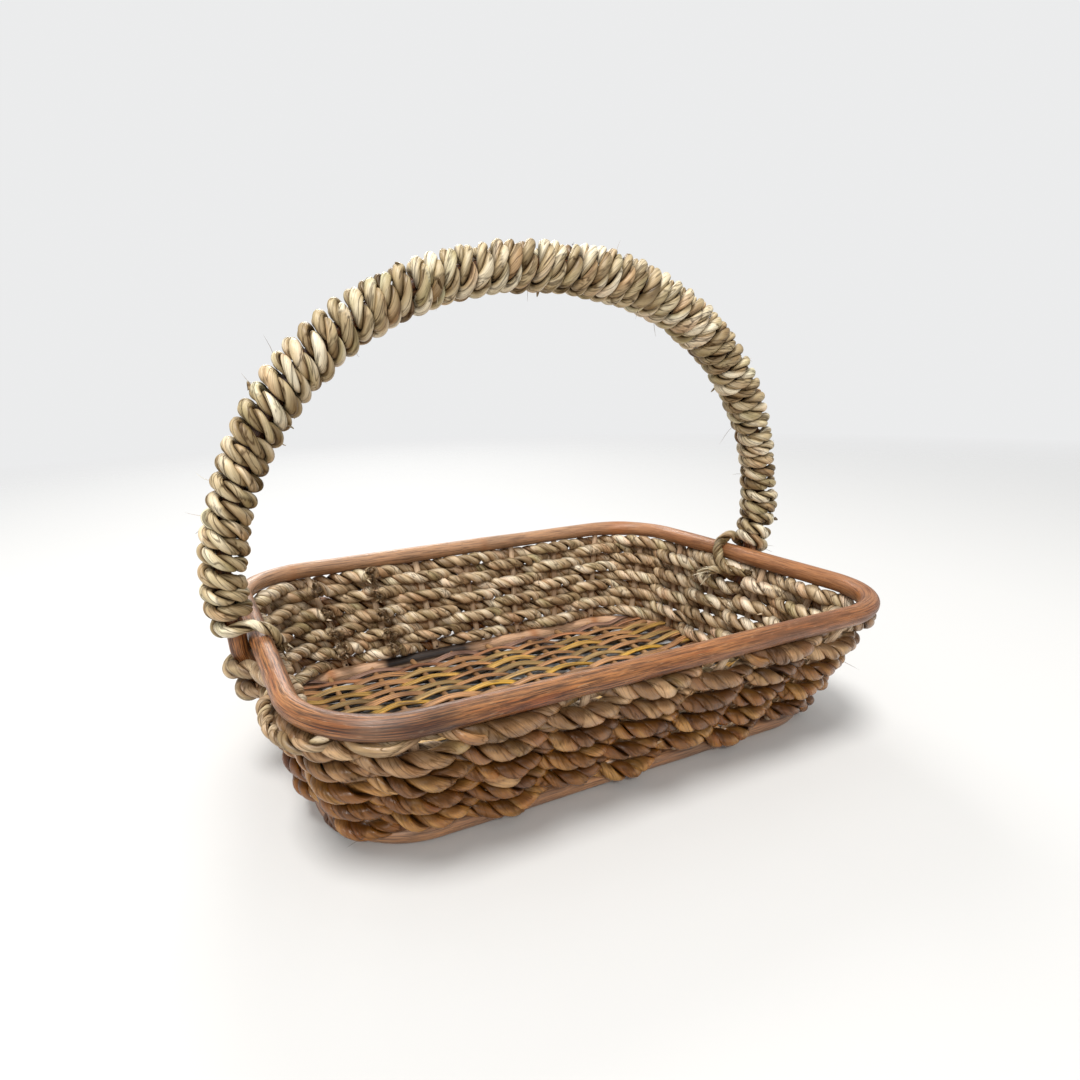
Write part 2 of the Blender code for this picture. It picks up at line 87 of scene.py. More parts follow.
def paint(red, green, blue):
    """Linear colour with alpha from sRGB values of 0 to 255."""
    shares = [value / 255 for value in (red, green, blue)]
    linear = [share / 12.92 if share <= 0.04045 else ((share + 0.055) / 1.055) ** 2.4 for share in shares]
    return (*linear, 1.0)


# Lines and noise

def unit(vectors):
    return vectors / np.linalg.norm(vectors, axis=-1, keepdims=True)


class Line:
    """A dense centre line with an outward and a sideways direction at each point."""

    def __init__(self, points, out, closed=False):
        self.points = points
        self.closed = closed
        if closed:
            heading = np.roll(points, -1, axis=0) - np.roll(points, 1, axis=0)
        else:
            heading = np.gradient(points, axis=0)
        self.along = unit(heading)
        out = np.broadcast_to(out, points.shape)
        self.out = unit(out - np.sum(out * self.along, axis=-1, keepdims=True) * self.along)
        self.side = np.cross(self.along, self.out)
        steps = np.linalg.norm(np.diff(points, axis=0), axis=-1)
        self.travel = np.concatenate([[0.0], np.cumsum(steps)])
        closing = np.linalg.norm(points[0] - points[-1]) if closed else 0.0
        self.length = self.travel[-1] + closing

    def part(self, first, last):
        """The stretch between two point numbers, keeping its frame and distances."""
        piece = object.__new__(Line)
        piece.closed = False
        for name in ("points", "along", "out", "side", "travel"):
            setattr(piece, name, getattr(self, name)[first:last])
        piece.length = self.length
        return piece


def resample(points, step, *others):
    """Evenly spaced points along a line, with other per-point values carried along."""
    travel = np.concatenate([[0.0], np.cumsum(np.linalg.norm(np.diff(points, axis=0), axis=-1))])
    places = np.linspace(0.0, travel[-1], max(2, round(travel[-1] / step) + 1))
    results = []
    for values in (points, *others):
        columns = values.reshape(len(values), -1)
        even = np.stack([np.interp(places, travel, column) for column in columns.T], axis=-1)
        results.append(even.reshape(len(places), *values.shape[1:]))
    return results if others else results[0]


def smooth_curve(controls, steps=16):
    """A smooth curve through its control points."""
    controls = np.asarray(controls, float)
    padded = np.vstack([2 * controls[0] - controls[1], controls, 2 * controls[-1] - controls[-2]])
    share = np.linspace(0, 1, steps, endpoint=False)[:, None]
    pieces = []
    for a, b, c, d in zip(padded, padded[1:], padded[2:], padded[3:]):
        pieces.append(0.5 * (2 * b + (c - a) * share + (2 * a - 5 * b + 4 * c - d) * share ** 2
                             + (3 * b - a - 3 * c + d) * share ** 3))
    return np.vstack([*pieces, controls[-1:]])


def knot_share(places):
    whole = np.floor(places).astype(int)
    share = places - whole
    return whole, share * share * (3 - 2 * share)


def wander(line, wavelength, rng):
    """A smooth random value between -1 and 1 along a line, which closes on itself."""
    count = max(3, round(line.length / wavelength))
    knots = rng.uniform(-1, 1, count)
    whole, share = knot_share(line.travel / line.length * count)
    return knots[whole % count] * (1 - share) + knots[(whole + 1) % count] * share


def dapple(line, sides, wavelength, patches, rng):
    """A smooth random value over a tube's skin, for each ring and side, which closes on itself both ways."""
    count = max(3, round(line.length / wavelength))
    knots = rng.uniform(-1, 1, (count, patches))
    row, row_share = knot_share(line.travel / line.length * count)
    column, column_share = knot_share(np.arange(sides) / sides * patches)
    near, far = knots[row % count], knots[(row + 1) % count]
    rows = near + (far - near) * row_share[:, None]
    left, right = rows[:, column % patches], rows[:, (column + 1) % patches]
    return left + (right - left) * column_share


def smoothstep(low, high, values):
    share = np.clip((values - low) / (high - low), 0, 1)
    return share * share * (3 - 2 * share)


def bell(values, middle, width):
    return np.exp(-((values - middle) / width) ** 2)


# Pieces

class Shell:
    """Points, faces and material values of one piece, gathered part by part."""

    def __init__(self):
        self.count = 0
        self.points, self.faces, self.fibre, self.tone = [], [], [], []

    def add(self, points, faces, fibre, tone):
        self.points.append(points)
        self.faces.append(faces + self.count)
        self.fibre.append(fibre)
        self.tone.append(np.broadcast_to(tone, points.shape))
        self.count += len(points)

    def piece(self, name, material, slot, *nodes):
        """Makes the mesh object, which stands for the named nodes of the frame."""
        mesh = bpy.data.meshes.new(name)
        points = np.concatenate(self.points).astype(np.float32)
        corners = np.concatenate([block.ravel() for block in self.faces]).astype(np.int32)
        sizes = np.concatenate([np.full(len(block), block.shape[1]) for block in self.faces])
        starts = np.concatenate([[0], np.cumsum(sizes)[:-1]]).astype(np.int32)
        mesh.vertices.add(len(points))
        mesh.vertices.foreach_set("co", points.ravel())
        mesh.loops.add(len(corners))
        mesh.loops.foreach_set("vertex_index", corners)
        mesh.polygons.add(len(sizes))
        mesh.polygons.foreach_set("loop_start", starts)
        mesh.update(calc_edges=True)
        for label, values in (("fibre", self.fibre), ("tone", self.tone)):
            layer = mesh.attributes.new(label, "FLOAT_VECTOR", "POINT")
            layer.data.foreach_set("vector", np.concatenate(values).astype(np.float32).ravel())
        mesh.shade_smooth()
        mesh.materials.append(material)
        item = bpy.data.objects.new(name, mesh)
        bpy.context.scene.collection.objects.link(item)
        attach(item, "root")
        if nodes:
            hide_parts(*nodes)
        return item


def skin(shell, line, across, sideways, tone, grain_start=0.0):
    """Skins rings round a line: across and sideways are each ring's offsets along out and side."""
    count, sides = across.shape
    points = (line.points[:, None] + across[..., None] * line.out[:, None]
              + sideways[..., None] * line.side[:, None])
    grain = np.broadcast_to((line.travel + grain_start)[:, None], across.shape)
    fibre = np.stack([across, sideways, grain], axis=-1)
    tone = np.broadcast_to(tone, points.shape)
    index = np.arange(count * sides).reshape(count, sides)
    near = index if line.closed else index[:-1]
    far = np.roll(index, -1, axis=0) if line.closed else index[1:]
    quads = np.stack([near, np.roll(near, -1, axis=1), np.roll(far, -1, axis=1), far], axis=-1).reshape(-1, 4)
    shell.add(points.reshape(-1, 3), quads, fibre.reshape(-1, 3), tone.reshape(-1, 3))
    if not line.closed:
        for end, order in ((0, -1), (-1, 1)):
            add_cap(shell, points[end], fibre[end], tone[end], order)


def add_cap(shell, ring, fibre, tone, order):
    """Closes a tube's end with a fan on points of its own, so that the edge stays sharp."""
    rim = np.arange(len(ring)) + 1
    fan = np.stack([np.zeros_like(rim), rim, np.roll(rim, -order)], axis=-1)
    ring, fibre, tone = (np.vstack([values.mean(axis=0), values]) for values in (ring, fibre, tone))
    shell.add(ring, fan, fibre, tone)


def angles(sides):
    return np.arange(sides) / sides * TAU


def add_pole(shell, line, radius, sides, tone, rng, ridges=0.012, lumps=0.03):
    """A cane or pole: a round section with shallow lengthwise ridges and slow lumps."""
    turn = angles(sides)
    swell = (1 + lumps * dapple(line, sides, 0.03, 4, rng)
             + ridges * dapple(line, sides, 0.05, sides // 2, rng))
    reach = np.reshape(radius, (-1, 1)) * swell
    skin(shell, line, reach * np.cos(turn), reach * np.sin(turn), tone, rng.uniform(0, 5))


def add_blade(shell, root, heading, curl, length, width, thickness, tone, rng, rings=7):
    """A thin torn fibre or leaf tip that tapers to a point and curls away from its heading."""
    share = np.linspace(0, 1, rings)[:, None]
    points = root + length * (share * heading + share ** 2 * curl)
    line = Line(points, np.cross(heading, curl) + 1e-6)
    taper = np.sqrt(np.clip(1.02 - share ** 1.6, 0, None))
    turn = angles(6)
    skin(shell, line, width / 2 * taper * np.cos(turn), thickness / 2 * taper * np.sin(turn), tone,
         rng.uniform(0, 5))


def add_fray(shell, point, heading, radius, count, length, rng):
    """A tuft of torn fibres growing from a rope's cut end."""
    across = unit(np.cross(heading, (0.3, 0.2, 1.0)))
    upward = np.cross(across, heading)
    for _ in range(count):
        turn, share = rng.uniform(0, TAU), math.sqrt(rng.uniform())
        spoke = math.cos(turn) * across + math.sin(turn) * upward
        root = point + radius * share * spoke - 0.0012 * heading
        lean = unit(heading + 0.6 * share * spoke + 0.2 * rng.normal(size=3))
        curl = 0.35 * rng.normal(size=3) + 0.2 * spoke
        tone = (0.1, rng.uniform(), rng.uniform(0.0, 0.5))
        width = rng.uniform(0.0006, 0.0018)
        add_blade(shell, root, lean, curl, length * rng.uniform(0.5, 1.15), width, 0.00022, tone, rng)


def add_roll(shell, centre, heading, radius, rng):
    """A strand's cut end: its leaf rolled up in a spiral that stands a little out of the strand."""
    across = unit(np.cross(heading, (0.3, 0.2, 1.0)))
    upward = np.cross(across, heading)
    turns = radius / 0.00062
    share = np.linspace(0.06, 1, 70)
    turn = TAU * turns * share + rng.uniform(0, TAU)
    flat = Line(np.stack([share * turns * 0.006, share * 0, share * 0], axis=-1), (0, 0, 1.0))
    reach = radius * (share + 0.07 * wander(flat, 0.003, rng))
    spoke = np.cos(turn)[:, None] * across + np.sin(turn)[:, None] * upward * rng.uniform(0.75, 1.0)
    uneven = 0.0007 * wander(flat, 0.004, rng) + 0.0006 * (1 - share)
    line = Line(centre + reach[:, None] * spoke + uneven[:, None] * heading, heading)
    section = angles(8)
    hue = 0.3 + 0.25 * wander(flat, 0.005, rng)
    # depth: painted shade on the part of the rolled leaf that reaches back into the strand.
    depth = 0.5 - 0.5 * np.cos(section)
    tone = np.stack(np.broadcast_arrays(0.15, hue[:, None], 0.10 + 0.75 * depth), axis=-1)
    skin(shell, line, np.broadcast_to(0.0016 * np.cos(section), (70, 8)),
         np.broadcast_to(0.00014 * np.sin(section), (70, 8)), tone, rng.uniform(0, 5))


# Hoops and the wall between them

class Hoop:
    """A pole bent to a level rounded rectangle, read from a node of the frame."""

    def __init__(self, node, corner):
        low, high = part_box(node)
        self.radius = (high.z - low.z) / 2
        self.height = (high.z + low.z) / 2
        self.half_length = (high.x - low.x) / 2 - self.radius
        self.half_width = (high.y - low.y) / 2 - self.radius
        self.corner = corner
        straight_x, straight_y = self.half_length - corner, self.half_width - corner
        outline = [(0.0, self.half_width)]
        for centre_x, centre_y, start in ((-straight_x, straight_y, 1), (-straight_x, -straight_y, 2),
                                          (straight_x, -straight_y, 3), (straight_x, straight_y, 4)):
            for step in range(CORNER_STEPS + 1):
                turn = (start + step / CORNER_STEPS) * TAU / 4
                outline.append((centre_x + corner * math.cos(turn), centre_y + corner * math.sin(turn)))
        outline.append(outline[0])
        self.outline = np.array(outline)
        steps = np.linalg.norm(np.diff(self.outline, axis=0), axis=1)
        self.travel = np.concatenate([[0.0], np.cumsum(steps)])

    def at(self, fraction):
        """Centre-line points at fractions of the loop, anticlockwise from the middle of the back side."""
        travel = np.asarray(fraction) % 1.0 * self.travel[-1]
        x, y = (np.interp(travel, self.travel, column) for column in self.outline.T)
        return np.stack([x, y, np.full_like(x, self.height)], axis=-1)

    def line(self, step):
        """The whole loop as a closed line whose outward direction is level."""
        count = round(self.travel[-1] / step)
        fraction = np.arange(count) / count
        points = self.at(fraction)
        ahead = self.at(fraction + 1 / count) - self.at(fraction - 1 / count)
        return Line(points, np.cross(ahead, (0, 0, 1.0)), closed=True)


RIM = Hoop("rim_hoop", RIM_CORNER)
BASE = Hoop("base_hoop", BASE_CORNER)


def row_height(row):
    low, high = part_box(f"wall_rope_{row + 1}")
    return (low.z + high.z) / 2


ROW_HEIGHTS = np.linspace(row_height(0), row_height(ROW_COUNT - 1), ROW_COUNT)


def wall_surface(places, heights):
    """Points of the wall's middle surface and its outward directions; places are counted in stakes."""
    fraction = (places - STAKE_SHIFT) / STAKE_COUNT
    rise = ((heights - BASE.height) / (RIM.height - BASE.height))[..., None]
    step = 0.02 / STAKE_COUNT

    def middle(fractions):
        foot = BASE.at(fractions)
        return foot + (RIM.at(fractions) - foot) * rise

    along = middle(fraction + step) - middle(fraction - step)
    slope = RIM.at(fraction) - BASE.at(fraction)
    return middle(fraction), unit(np.cross(along, slope))


def stake_spacing(height):
    rise = (height - BASE.height) / (RIM.height - BASE.height)
    return (BASE.travel[-1] + (RIM.travel[-1] - BASE.travel[-1]) * rise) / STAKE_COUNT


# Handle's pole

def leg_x(height):
    """Distance of the pole's centre from the middle, at a height below the arch."""
    clear_x = RIM.half_length + RIM.radius + POLE_RADIUS + 0.0003
    low, high = POLE_UPRIGHT
    leaning = POLE_TIP[0] + (clear_x - POLE_TIP[0]) * (height - POLE_TIP[1]) / (low - POLE_TIP[1])
    rise = np.clip((height - HANDLE_SPRING_Z) / HANDLE_RISE, 0, 1)
    arch_x = HANDLE_HALF_WIDTH * (1 - rise ** HANDLE_SQUARENESS) ** (1 / HANDLE_SQUARENESS)
    lean = 1 - smoothstep(high, ARCH_JOIN_Z, height)
    upper = arch_x - lean * (HANDLE_HALF_WIDTH - clear_x)
    return np.where(height <= low, leaning, np.where(height <= high, clear_x, upper))


def pole_radius(height):
    share = np.clip((height - POLE_TIP[1]) / (POLE_UPRIGHT[0] - POLE_TIP[1]), 0, 1)
    return POLE_TIP_RADIUS + (POLE_RADIUS - POLE_TIP_RADIUS) * share


def handle_points(lowest):
    """Dense centre line of the handle, from a height on its left leg over the arch to the right leg."""
    legs = np.linspace(lowest, ARCH_JOIN_Z, 80)
    left = np.stack([-leg_x(legs), np.zeros_like(legs), legs], axis=-1)
    join = math.asin(((ARCH_JOIN_Z - HANDLE_SPRING_Z) / HANDLE_RISE) ** (HANDLE_SQUARENESS / 2))
    turn = np.linspace(math.pi - join, join, 600)[1:-1]
    power = 2 / HANDLE_SQUARENESS
    x = HANDLE_HALF_WIDTH * np.sign(np.cos(turn)) * np.abs(np.cos(turn)) ** power
    z = HANDLE_SPRING_Z + HANDLE_RISE * np.sin(turn) ** power
    arch = np.stack([x, np.zeros_like(x), z], axis=-1)
    right = left[::-1] * (-1, 1, 1)
    return np.vstack([left, arch, right])


# Ropes

class Rope:
    """Sizes of a two-strand rope with a right-handed lay."""
    step = 0.0007
    sides = 20
    lay = 0.0215
    reach = 0.00235         # strand's centre from the rope's centre
    thickness = 0.0049      # strand's section, away from the rope's centre
    width = 0.0065          # strand's section, sideways
    lumps = 0.12
    leaf_pitch = 0.055      # length over which a leaf's free edge goes once round its strand
    leaf_step = 0.06
    leaf_length = 0.030     # usual distance between leaf ends on one strand
    unevenness = 1.5        # how far its twist runs ahead or behind, in radians
    tail = 0.001            # length over which its ends are drawn thin


def leaf_covers(line, turn, spacing, rng):
    """For each ring and side, the number of the leaf on top and the distance past that leaf's end."""
    count = max(2, round(line.length / spacing))
    starts = line.travel[0] + np.sort(rng.uniform(0, line.length, count))
    slanted = line.travel[:, None] + 0.0016 * np.cos(turn + rng.uniform(0, TAU))
    number = np.searchsorted(starts, slanted)
    before = np.concatenate([[line.travel[0] - 1.0], starts])
    return number, slanted - before[number]


def leaf_edges(line, rope, turn, number, rng):
    """How far the leaf on top stands up at each ring and side, and the painted shade along its free edges."""
    step, dark = 0.0, np.zeros(number.shape)
    for pitch in (rope.leaf_pitch, -1.7 * rope.leaf_pitch):
        leaf = (turn / TAU + line.travel[:, None] / pitch + 0.35 * wander(line, 0.03, rng)[:, None]
                + 0.37 * number) % 1.0
        step = step + rope.leaf_step * (leaf - 0.5)
        dark = np.maximum(dark, np.maximum(bell(leaf, 0.0, 0.035), bell(leaf, 1.0, 0.035)))
    return step, dark


def end_darkness(line, ends):
    """Darkness that fades away from a rope's cut ends, over a length for each end; 0 leaves an end plain."""
    dark = np.zeros(len(line.points))
    for reach, away in ((ends[0], line.travel - line.travel[0]), (ends[1], line.travel[-1] - line.travel)):
        if reach:
            dark = np.maximum(dark, 1 - smoothstep(0.0, reach, away))
    return dark


def place_in_rope(line, thread, across, sideways):
    """Where a strand's rings are in their rope: height toward the outside, and distance to either side."""
    place = ((thread.points - line.points)[:, None] + across[..., None] * thread.out[:, None]
             + sideways[..., None] * thread.side[:, None])
    height = np.sum(place * line.out[:, None], axis=-1)
    return height, np.abs(np.sum(place * line.side[:, None], axis=-1))


def lay_strands(line, rope, rng, outside, stain=1.0, ends=(0.0, 0.0)):
    """Lays two strands round a line. outside is how far the rope's centre is outside the wall, in metres, and
    stain is how much of the outside's varnish and painted shade it has there.

    tone: share of the outside's varnish and painted shade, hue with a painted highlight on each strand's
    crest,
    and darkness: painted shade in crevices, between rows and along leaf edges and ends, and darker cut ends.
    Returns each strand's centre line with its rings, tone and grain, ready to skin.
    """
    phase = rng.uniform(0, TAU)
    uneven = rope.unevenness * wander(line, 0.045, rng)
    bulge = smoothstep(0.001, 0.0055, outside)
    from_end = np.minimum(line.travel - line.travel[0], line.travel[-1] - line.travel)
    drawn = 0.78 + 0.22 * smoothstep(0.5 * rope.tail, rope.tail, from_end)
    torn = end_darkness(line, ends)[:, None]
    turn = angles(rope.sides)
    full = rope.reach + rope.thickness / 2
    threads = []
    for strand in range(2):
        around = phase + strand * math.pi + TAU * line.travel / rope.lay + uneven
        around = around + 0.25 * rope.unevenness * wander(line, 0.016, rng)
        radial = np.cos(around)[:, None] * line.out + np.sin(around)[:, None] * line.side
        size = 1 + rope.lumps * wander(line, 0.008, rng) + rope.lumps * wander(line, 0.04, rng)
        size = size * (1 - 0.03 * np.cos(2 * around)) * (1 + 0.10 * bulge) * drawn
        flatness = (1 + 0.13 * wander(line, 0.02, rng))[:, None]
        reach = rope.reach * (1 + 0.12 * wander(line, 0.02, rng)) * (1 + 0.06 * bulge) * drawn
        thread = Line(line.points + reach[:, None] * radial, radial)
        number, past = leaf_covers(line, turn, rope.leaf_length, rng)
        leaf_hue = rng.uniform(-0.5, 0.5, number.max() + 1)[number]
        edge_step, edge_dark = leaf_edges(line, rope, turn, number, rng)
        skin_size = (size[:, None] + edge_step + 0.10 * np.exp(-past / 0.0045)
                     + 0.05 * dapple(line, rope.sides, 0.007, 7, rng)
                     + 0.03 * dapple(line, rope.sides, 0.0025, 6, rng))
        across = rope.thickness / 2 * skin_size * np.cos(turn) / flatness
        sideways = rope.width / 2 * skin_size * np.sin(turn) * flatness
        height, sidelong = place_in_rope(line, thread, across, sideways)
        depth = np.hypot(height, sidelong)
        # Outside share: varnish, and painted shade that makes the outside wall darker and browner.
        finish = smoothstep(-0.0035, 0.0030, outside[:, None] + height) * np.reshape(stain, (-1, 1))
        # crest makes each strand paler on its outermost part: a painted highlight.
        crest = smoothstep(0.62 * full, 1.02 * full, depth)
        hue = 0.38 + 0.34 * crest + 0.42 * leaf_hue + 0.20 * wander(line, 0.02, rng)[:, None]
        # crevice, the gap between rows and the leaf edges and ends are painted shade; torn is the darker cut
        # ends.
        crevice = 1 - smoothstep(0.34, 0.74, depth / full - 0.15 * finish)
        row_gap_shade = smoothstep(0.0030, 0.0043, sidelong)
        leaf_end = bell(past, 0.0, 0.0007)
        dark = np.maximum.reduce([0.60 * edge_dark, 0.95 * crevice, 0.60 * row_gap_shade, 0.8 * leaf_end,
                                  np.broadcast_to(0.7 * torn, past.shape)])
        threads.append((thread, across, sideways, np.stack([finish, hue, dark], axis=-1), rng.uniform(0, 5)))
    return threads


def add_rope(shell, line, rope, rng, outside, stain=1.0, ends=(0.0, 0.0)):
    """Skins a rope's two strands and returns their centre lines."""
    strands = lay_strands(line, rope, rng, outside, stain, ends)
    for strand in strands:
        skin(shell, *strand)
    return [thread for thread, *_ in strands]


def finish_rope_end(shell, threads, tip, heading, rope, rng):
    """Rolled leaf in both strands' cut ends, and a few torn fibres."""
    for thread in threads:
        direction = heading * thread.along[tip]
        add_roll(shell, thread.points[tip], direction, 0.57 * rope.thickness, rng)
        add_fray(shell, thread.points[tip], direction, 0.0024, 9, 0.0042, rng)


def rope_over_pole(height, distance, rope_radius):
    """Offset of a rope that bends round the handle's pole: an arc, then straight runs to the wall."""
    place = np.array([RIGHT_POLE])
    wall, out = wall_surface(place, np.array([height]))
    centre = (np.array([leg_x(max(height, POLE_TIP[1])), 0.0, height]) - wall[0]) @ out[0]
    radius = pole_radius(height) + rope_radius
    bend = math.radians(56)
    arc_half = radius * math.sin(bend)
    arc = centre + np.sqrt(np.maximum(radius * radius - distance * distance, 0))
    run = centre + radius * math.cos(bend) - (distance - arc_half) * math.tan(bend)
    return np.where(distance <= arc_half, arc, run)


def weave_offset(row, places):
    """How far a row lies outside the wall's middle, which swaps from stake to stake and clears the pole."""
    height = ROW_HEIGHTS[row]
    first_side = 1.0 if row % 2 else -1.0
    offset = first_side * WEAVE_OFFSET * np.cos(math.pi * places)
    for pole in (LEFT_POLE, RIGHT_POLE):
        if (row + round(pole)) % 2 and height + 0.00325 > POLE_TIP[1]:
            distance = np.abs((places - pole + STAKE_COUNT / 2) % STAKE_COUNT - STAKE_COUNT / 2)
            offset = np.maximum(offset, rope_over_pole(height, distance * stake_spacing(height), 0.0037))
    return offset


ROPE_END_GAP = 0.020        # from a rope's end to the stake where its row starts, in stake spacings
ROPE_END_TURN = 0.0068      # how far its ends turn in from the wall
ROPE_END_RUN = 0.20         # length of that turn, in stake spacings


def wall_rope_line(row, rng):
    """Centre line of one row, and how far it lies outside the wall's middle."""
    start = 3 if row % 2 else 2
    places = np.linspace(start + ROPE_END_GAP, start + STAKE_COUNT - ROPE_END_GAP, 3600)
    from_end = np.minimum(places - places[0], places[-1] - places)
    turned = np.clip(1 - from_end / ROPE_END_RUN, 0, 1) ** 2
    offset = weave_offset(row, places) - ROPE_END_TURN * turned
    rough = Line(np.stack([places, places * 0, places * 0], axis=-1), (0, 0, 1.0))
    drift = 0.0004 * wander(rough, 1.3, rng) + 0.0003 * wander(rough, 0.5, rng)
    offset = offset + 0.0006 * wander(rough, 0.7, rng)
    lift = turned * rng.uniform(-0.0035, 0.0035, 2)[(places > start + STAKE_COUNT / 2).astype(int)]
    heights = ROW_HEIGHTS[row] + drift + lift
    if row == 0:
        heights = heights - 0.0010 - 0.0014 * smoothstep(0, WEAVE_OFFSET, offset)
    middle, out = wall_surface(places, heights)
    points, out, offset = resample(middle + out * offset[:, None], Rope.step, out, offset)
    return Line(points, out), offset


def wall_varnish_and_shade(points):
    """The outside's varnish and painted shade are thin on the upper rows, most of all at the left end of the
    basket: there they are drawn paler, partly thinner varnish and partly painted light.
    """
    x, _, z = points.T
    upper = smoothstep(0.040, 0.066, z)
    left_end = smoothstep(-0.158, -0.176, x)
    right_end = 0.6 * smoothstep(0.150, 0.170, x) * smoothstep(0.058, 0.068, z)
    return 1 - upper * np.maximum(np.maximum(0.95 * left_end, right_end), 0.25)


def wall_ropes(materials):
    """The wall's nine rows and the rolled leaf in their cut ends. Returns each row's line, for loose leaf."""
    lines = []
    ends = Shell()
    rng_ends = np.random.default_rng(71)
    for row in range(ROW_COUNT):
        rng = np.random.default_rng(100 + row)
        line, offset = wall_rope_line(row, rng)
        shell = Shell()
        threads = add_rope(shell, line, Rope, rng, offset, wall_varnish_and_shade(line.points), ends=(0.004, 0.004))
        name = f"wall_rope_{row + 1}"
        shell.piece(f"seagrass_row_{row + 1}", materials["seagrass_wall"], "seagrass_wall", name)
        for tip, heading in ((0, -1), (-1, 1)):
            finish_rope_end(ends, threads, tip, heading, Rope, rng_ends)
        lines.append((line, offset))
    ends.piece("rope_ends", materials["seagrass_wall"], "seagrass_wall")
    return lines


# Hoops, stakes and binding

def near(points, target, width):
    """How near each point is to a place in the basket, from 0 to 1."""
    return bell(np.linalg.norm(points - np.array(target), axis=-1), 0.0, width)


RIM_STAIN = (-0.150, -0.138, -0.113, -0.104)    # x where the front's faint stain comes and goes
RIM_BLOTCH_X = -0.116                           # its darkest place
# Middle of a pale patch on the front: painted sheen.
RIM_SHEEN_X = -0.142
RIM_NODES_X = (0.02, -0.13)                     # joints of the cane, on the back
RIM_RING = 0.0012                               # spacing of the rim's and the base hoop's rings
HOOP_SIDES = 40


def rim_hoop(materials):
    """tone: bare wood and painted sheen, dark stain and painted shade, orange varnish and knots."""
    rng = np.random.default_rng(5)
    sides = HOOP_SIDES
    line = RIM.line(RIM_RING)
    waves = [0.0005 * wander(line, 0.16, rng), 0.0005 * wander(line, 0.14, rng),
             0.0003 * wander(line, 0.12, rng)]
    line = Line(line.points + np.stack(waves, axis=-1), line.out, closed=True)
    front, side = -RIM.half_width, RIM.half_length
    x, y = line.points[:, 0], line.points[:, 1]
    along_front = smoothstep(0.6 * RIM.half_width, 0.9 * RIM.half_width, -y)
    bare = 0.12 * along_front * smoothstep(-0.02, 0.05, x) * (1 - smoothstep(0.11, 0.16, x))
    # A pale patch on the front, painted sheen.
    bare = np.maximum(bare, 0.30 * near(line.points, (RIM_SHEEN_X, front, RIM.height), 0.009))
    # The back and the right end paler: weathered wood and painted sheen.
    bare = np.maximum(bare, 0.62 * smoothstep(0.2 * RIM.half_width, 0.8 * RIM.half_width, y))
    bare = np.maximum(bare, 0.34 * smoothstep(0.9 * side, side, x))
    starts, full, fades, ends = RIM_STAIN
    stain = along_front * smoothstep(starts, full, x) * (1 - smoothstep(fades, ends, x))
    # Besides the stain, the whole front is drawn a little darker: painted shade.
    stain = 0.20 * stain + 0.09 * along_front
    blotch = 0.42 * near(line.points, (RIM_BLOTCH_X, front, RIM.height), 0.009)
    streaks = np.clip(0.45 + 0.8 * dapple(line, sides, 0.03, 5, np.random.default_rng(6)), 0.0, 1.3)
    knot = near(line.points, (side - 0.020, -front - 0.010, RIM.height), 0.014)
    orange = 0.3 * along_front * smoothstep(-0.06, 0.02, x)
    orange = np.maximum(orange, 0.5 * smoothstep(0.55 * side, side, x))
    for node_x in RIM_NODES_X:
        knot = np.maximum(knot, 0.35 * near(line.points, (node_x, -front, RIM.height), 0.003))
    # The rim's top drawn paler is painted sheen, its underside drawn darker is painted shade.
    above, below = (smoothstep(0.15, 0.95, sign * np.sin(angles(sides))) for sign in (-1, 1))
    stain_and_shade = stain[:, None] + blotch[:, None] * streaks + 0.30 * below
    varnish = np.maximum(knot, orange)
    tone = np.stack(np.broadcast_arrays(np.maximum(bare[:, None], 0.14 * above), stain_and_shade, varnish[:, None]),
                    axis=-1)
    radius = RIM.radius * (1.0 + 0.03 * wander(line, 0.07, rng) + 0.05 * knot)
    shell = Shell()
    add_pole(shell, line, radius, sides, tone, rng, ridges=0.012, lumps=0.02)
    shell.piece("rim_pole", materials["rattan"], "rattan_pole", "rim_hoop")


SCORCH = (-0.079, -0.073, -0.012, 0.002)        # x where the black scorch comes and goes, inside the back
BASE_KNOTS_X = (0.112, 0.052, -0.118, 0.140)    # on the back


def base_hoop(materials):
    """tone: pale bare wood inside, black scorch, dark knots."""
    rng = np.random.default_rng(8)
    sides = HOOP_SIDES
    line = BASE.line(RIM_RING)
    turn = angles(sides)
    back = BASE.half_width
    x, y = line.points[:, 0], line.points[:, 1]
    inner = smoothstep(-0.1, 0.5, -np.cos(turn) - 0.5 * np.sin(turn))
    outer = smoothstep(0.0, 0.5, np.cos(turn))
    pale = smoothstep(0.3 * back, 0.8 * back, y)[:, None] * inner
    pale = np.maximum(pale, 0.35 * smoothstep(0.3 * back, 0.8 * back, -y)[:, None] * outer)
    starts, full, fades, ends = SCORCH
    along_scorch = smoothstep(starts, full, x) * (1 - smoothstep(fades, ends, x)) * (y > 0.5 * back)
    upper_inner = smoothstep(0.35, 0.60, np.cos(turn + 0.68 * math.pi))
    scorch = along_scorch[:, None] * upper_inner
    knots = np.zeros(len(line.points))
    for knot_x in BASE_KNOTS_X:
        knots = np.maximum(knots, bell(x, knot_x, 0.004) * (y > 0))
    swell = 1 + 0.10 * knots + 0.04 * wander(line, 0.035, rng)
    tone = np.stack([pale, scorch, np.broadcast_to(knots[:, None], pale.shape)], axis=-1)
    shell = Shell()
    add_pole(shell, line, BASE.radius * 0.985 * np.minimum(swell, 1.06), sides, tone, rng, 0.02, 0.035)
    shell.piece("base_pole", materials["rattan"], "rattan_pole", "base_hoop")


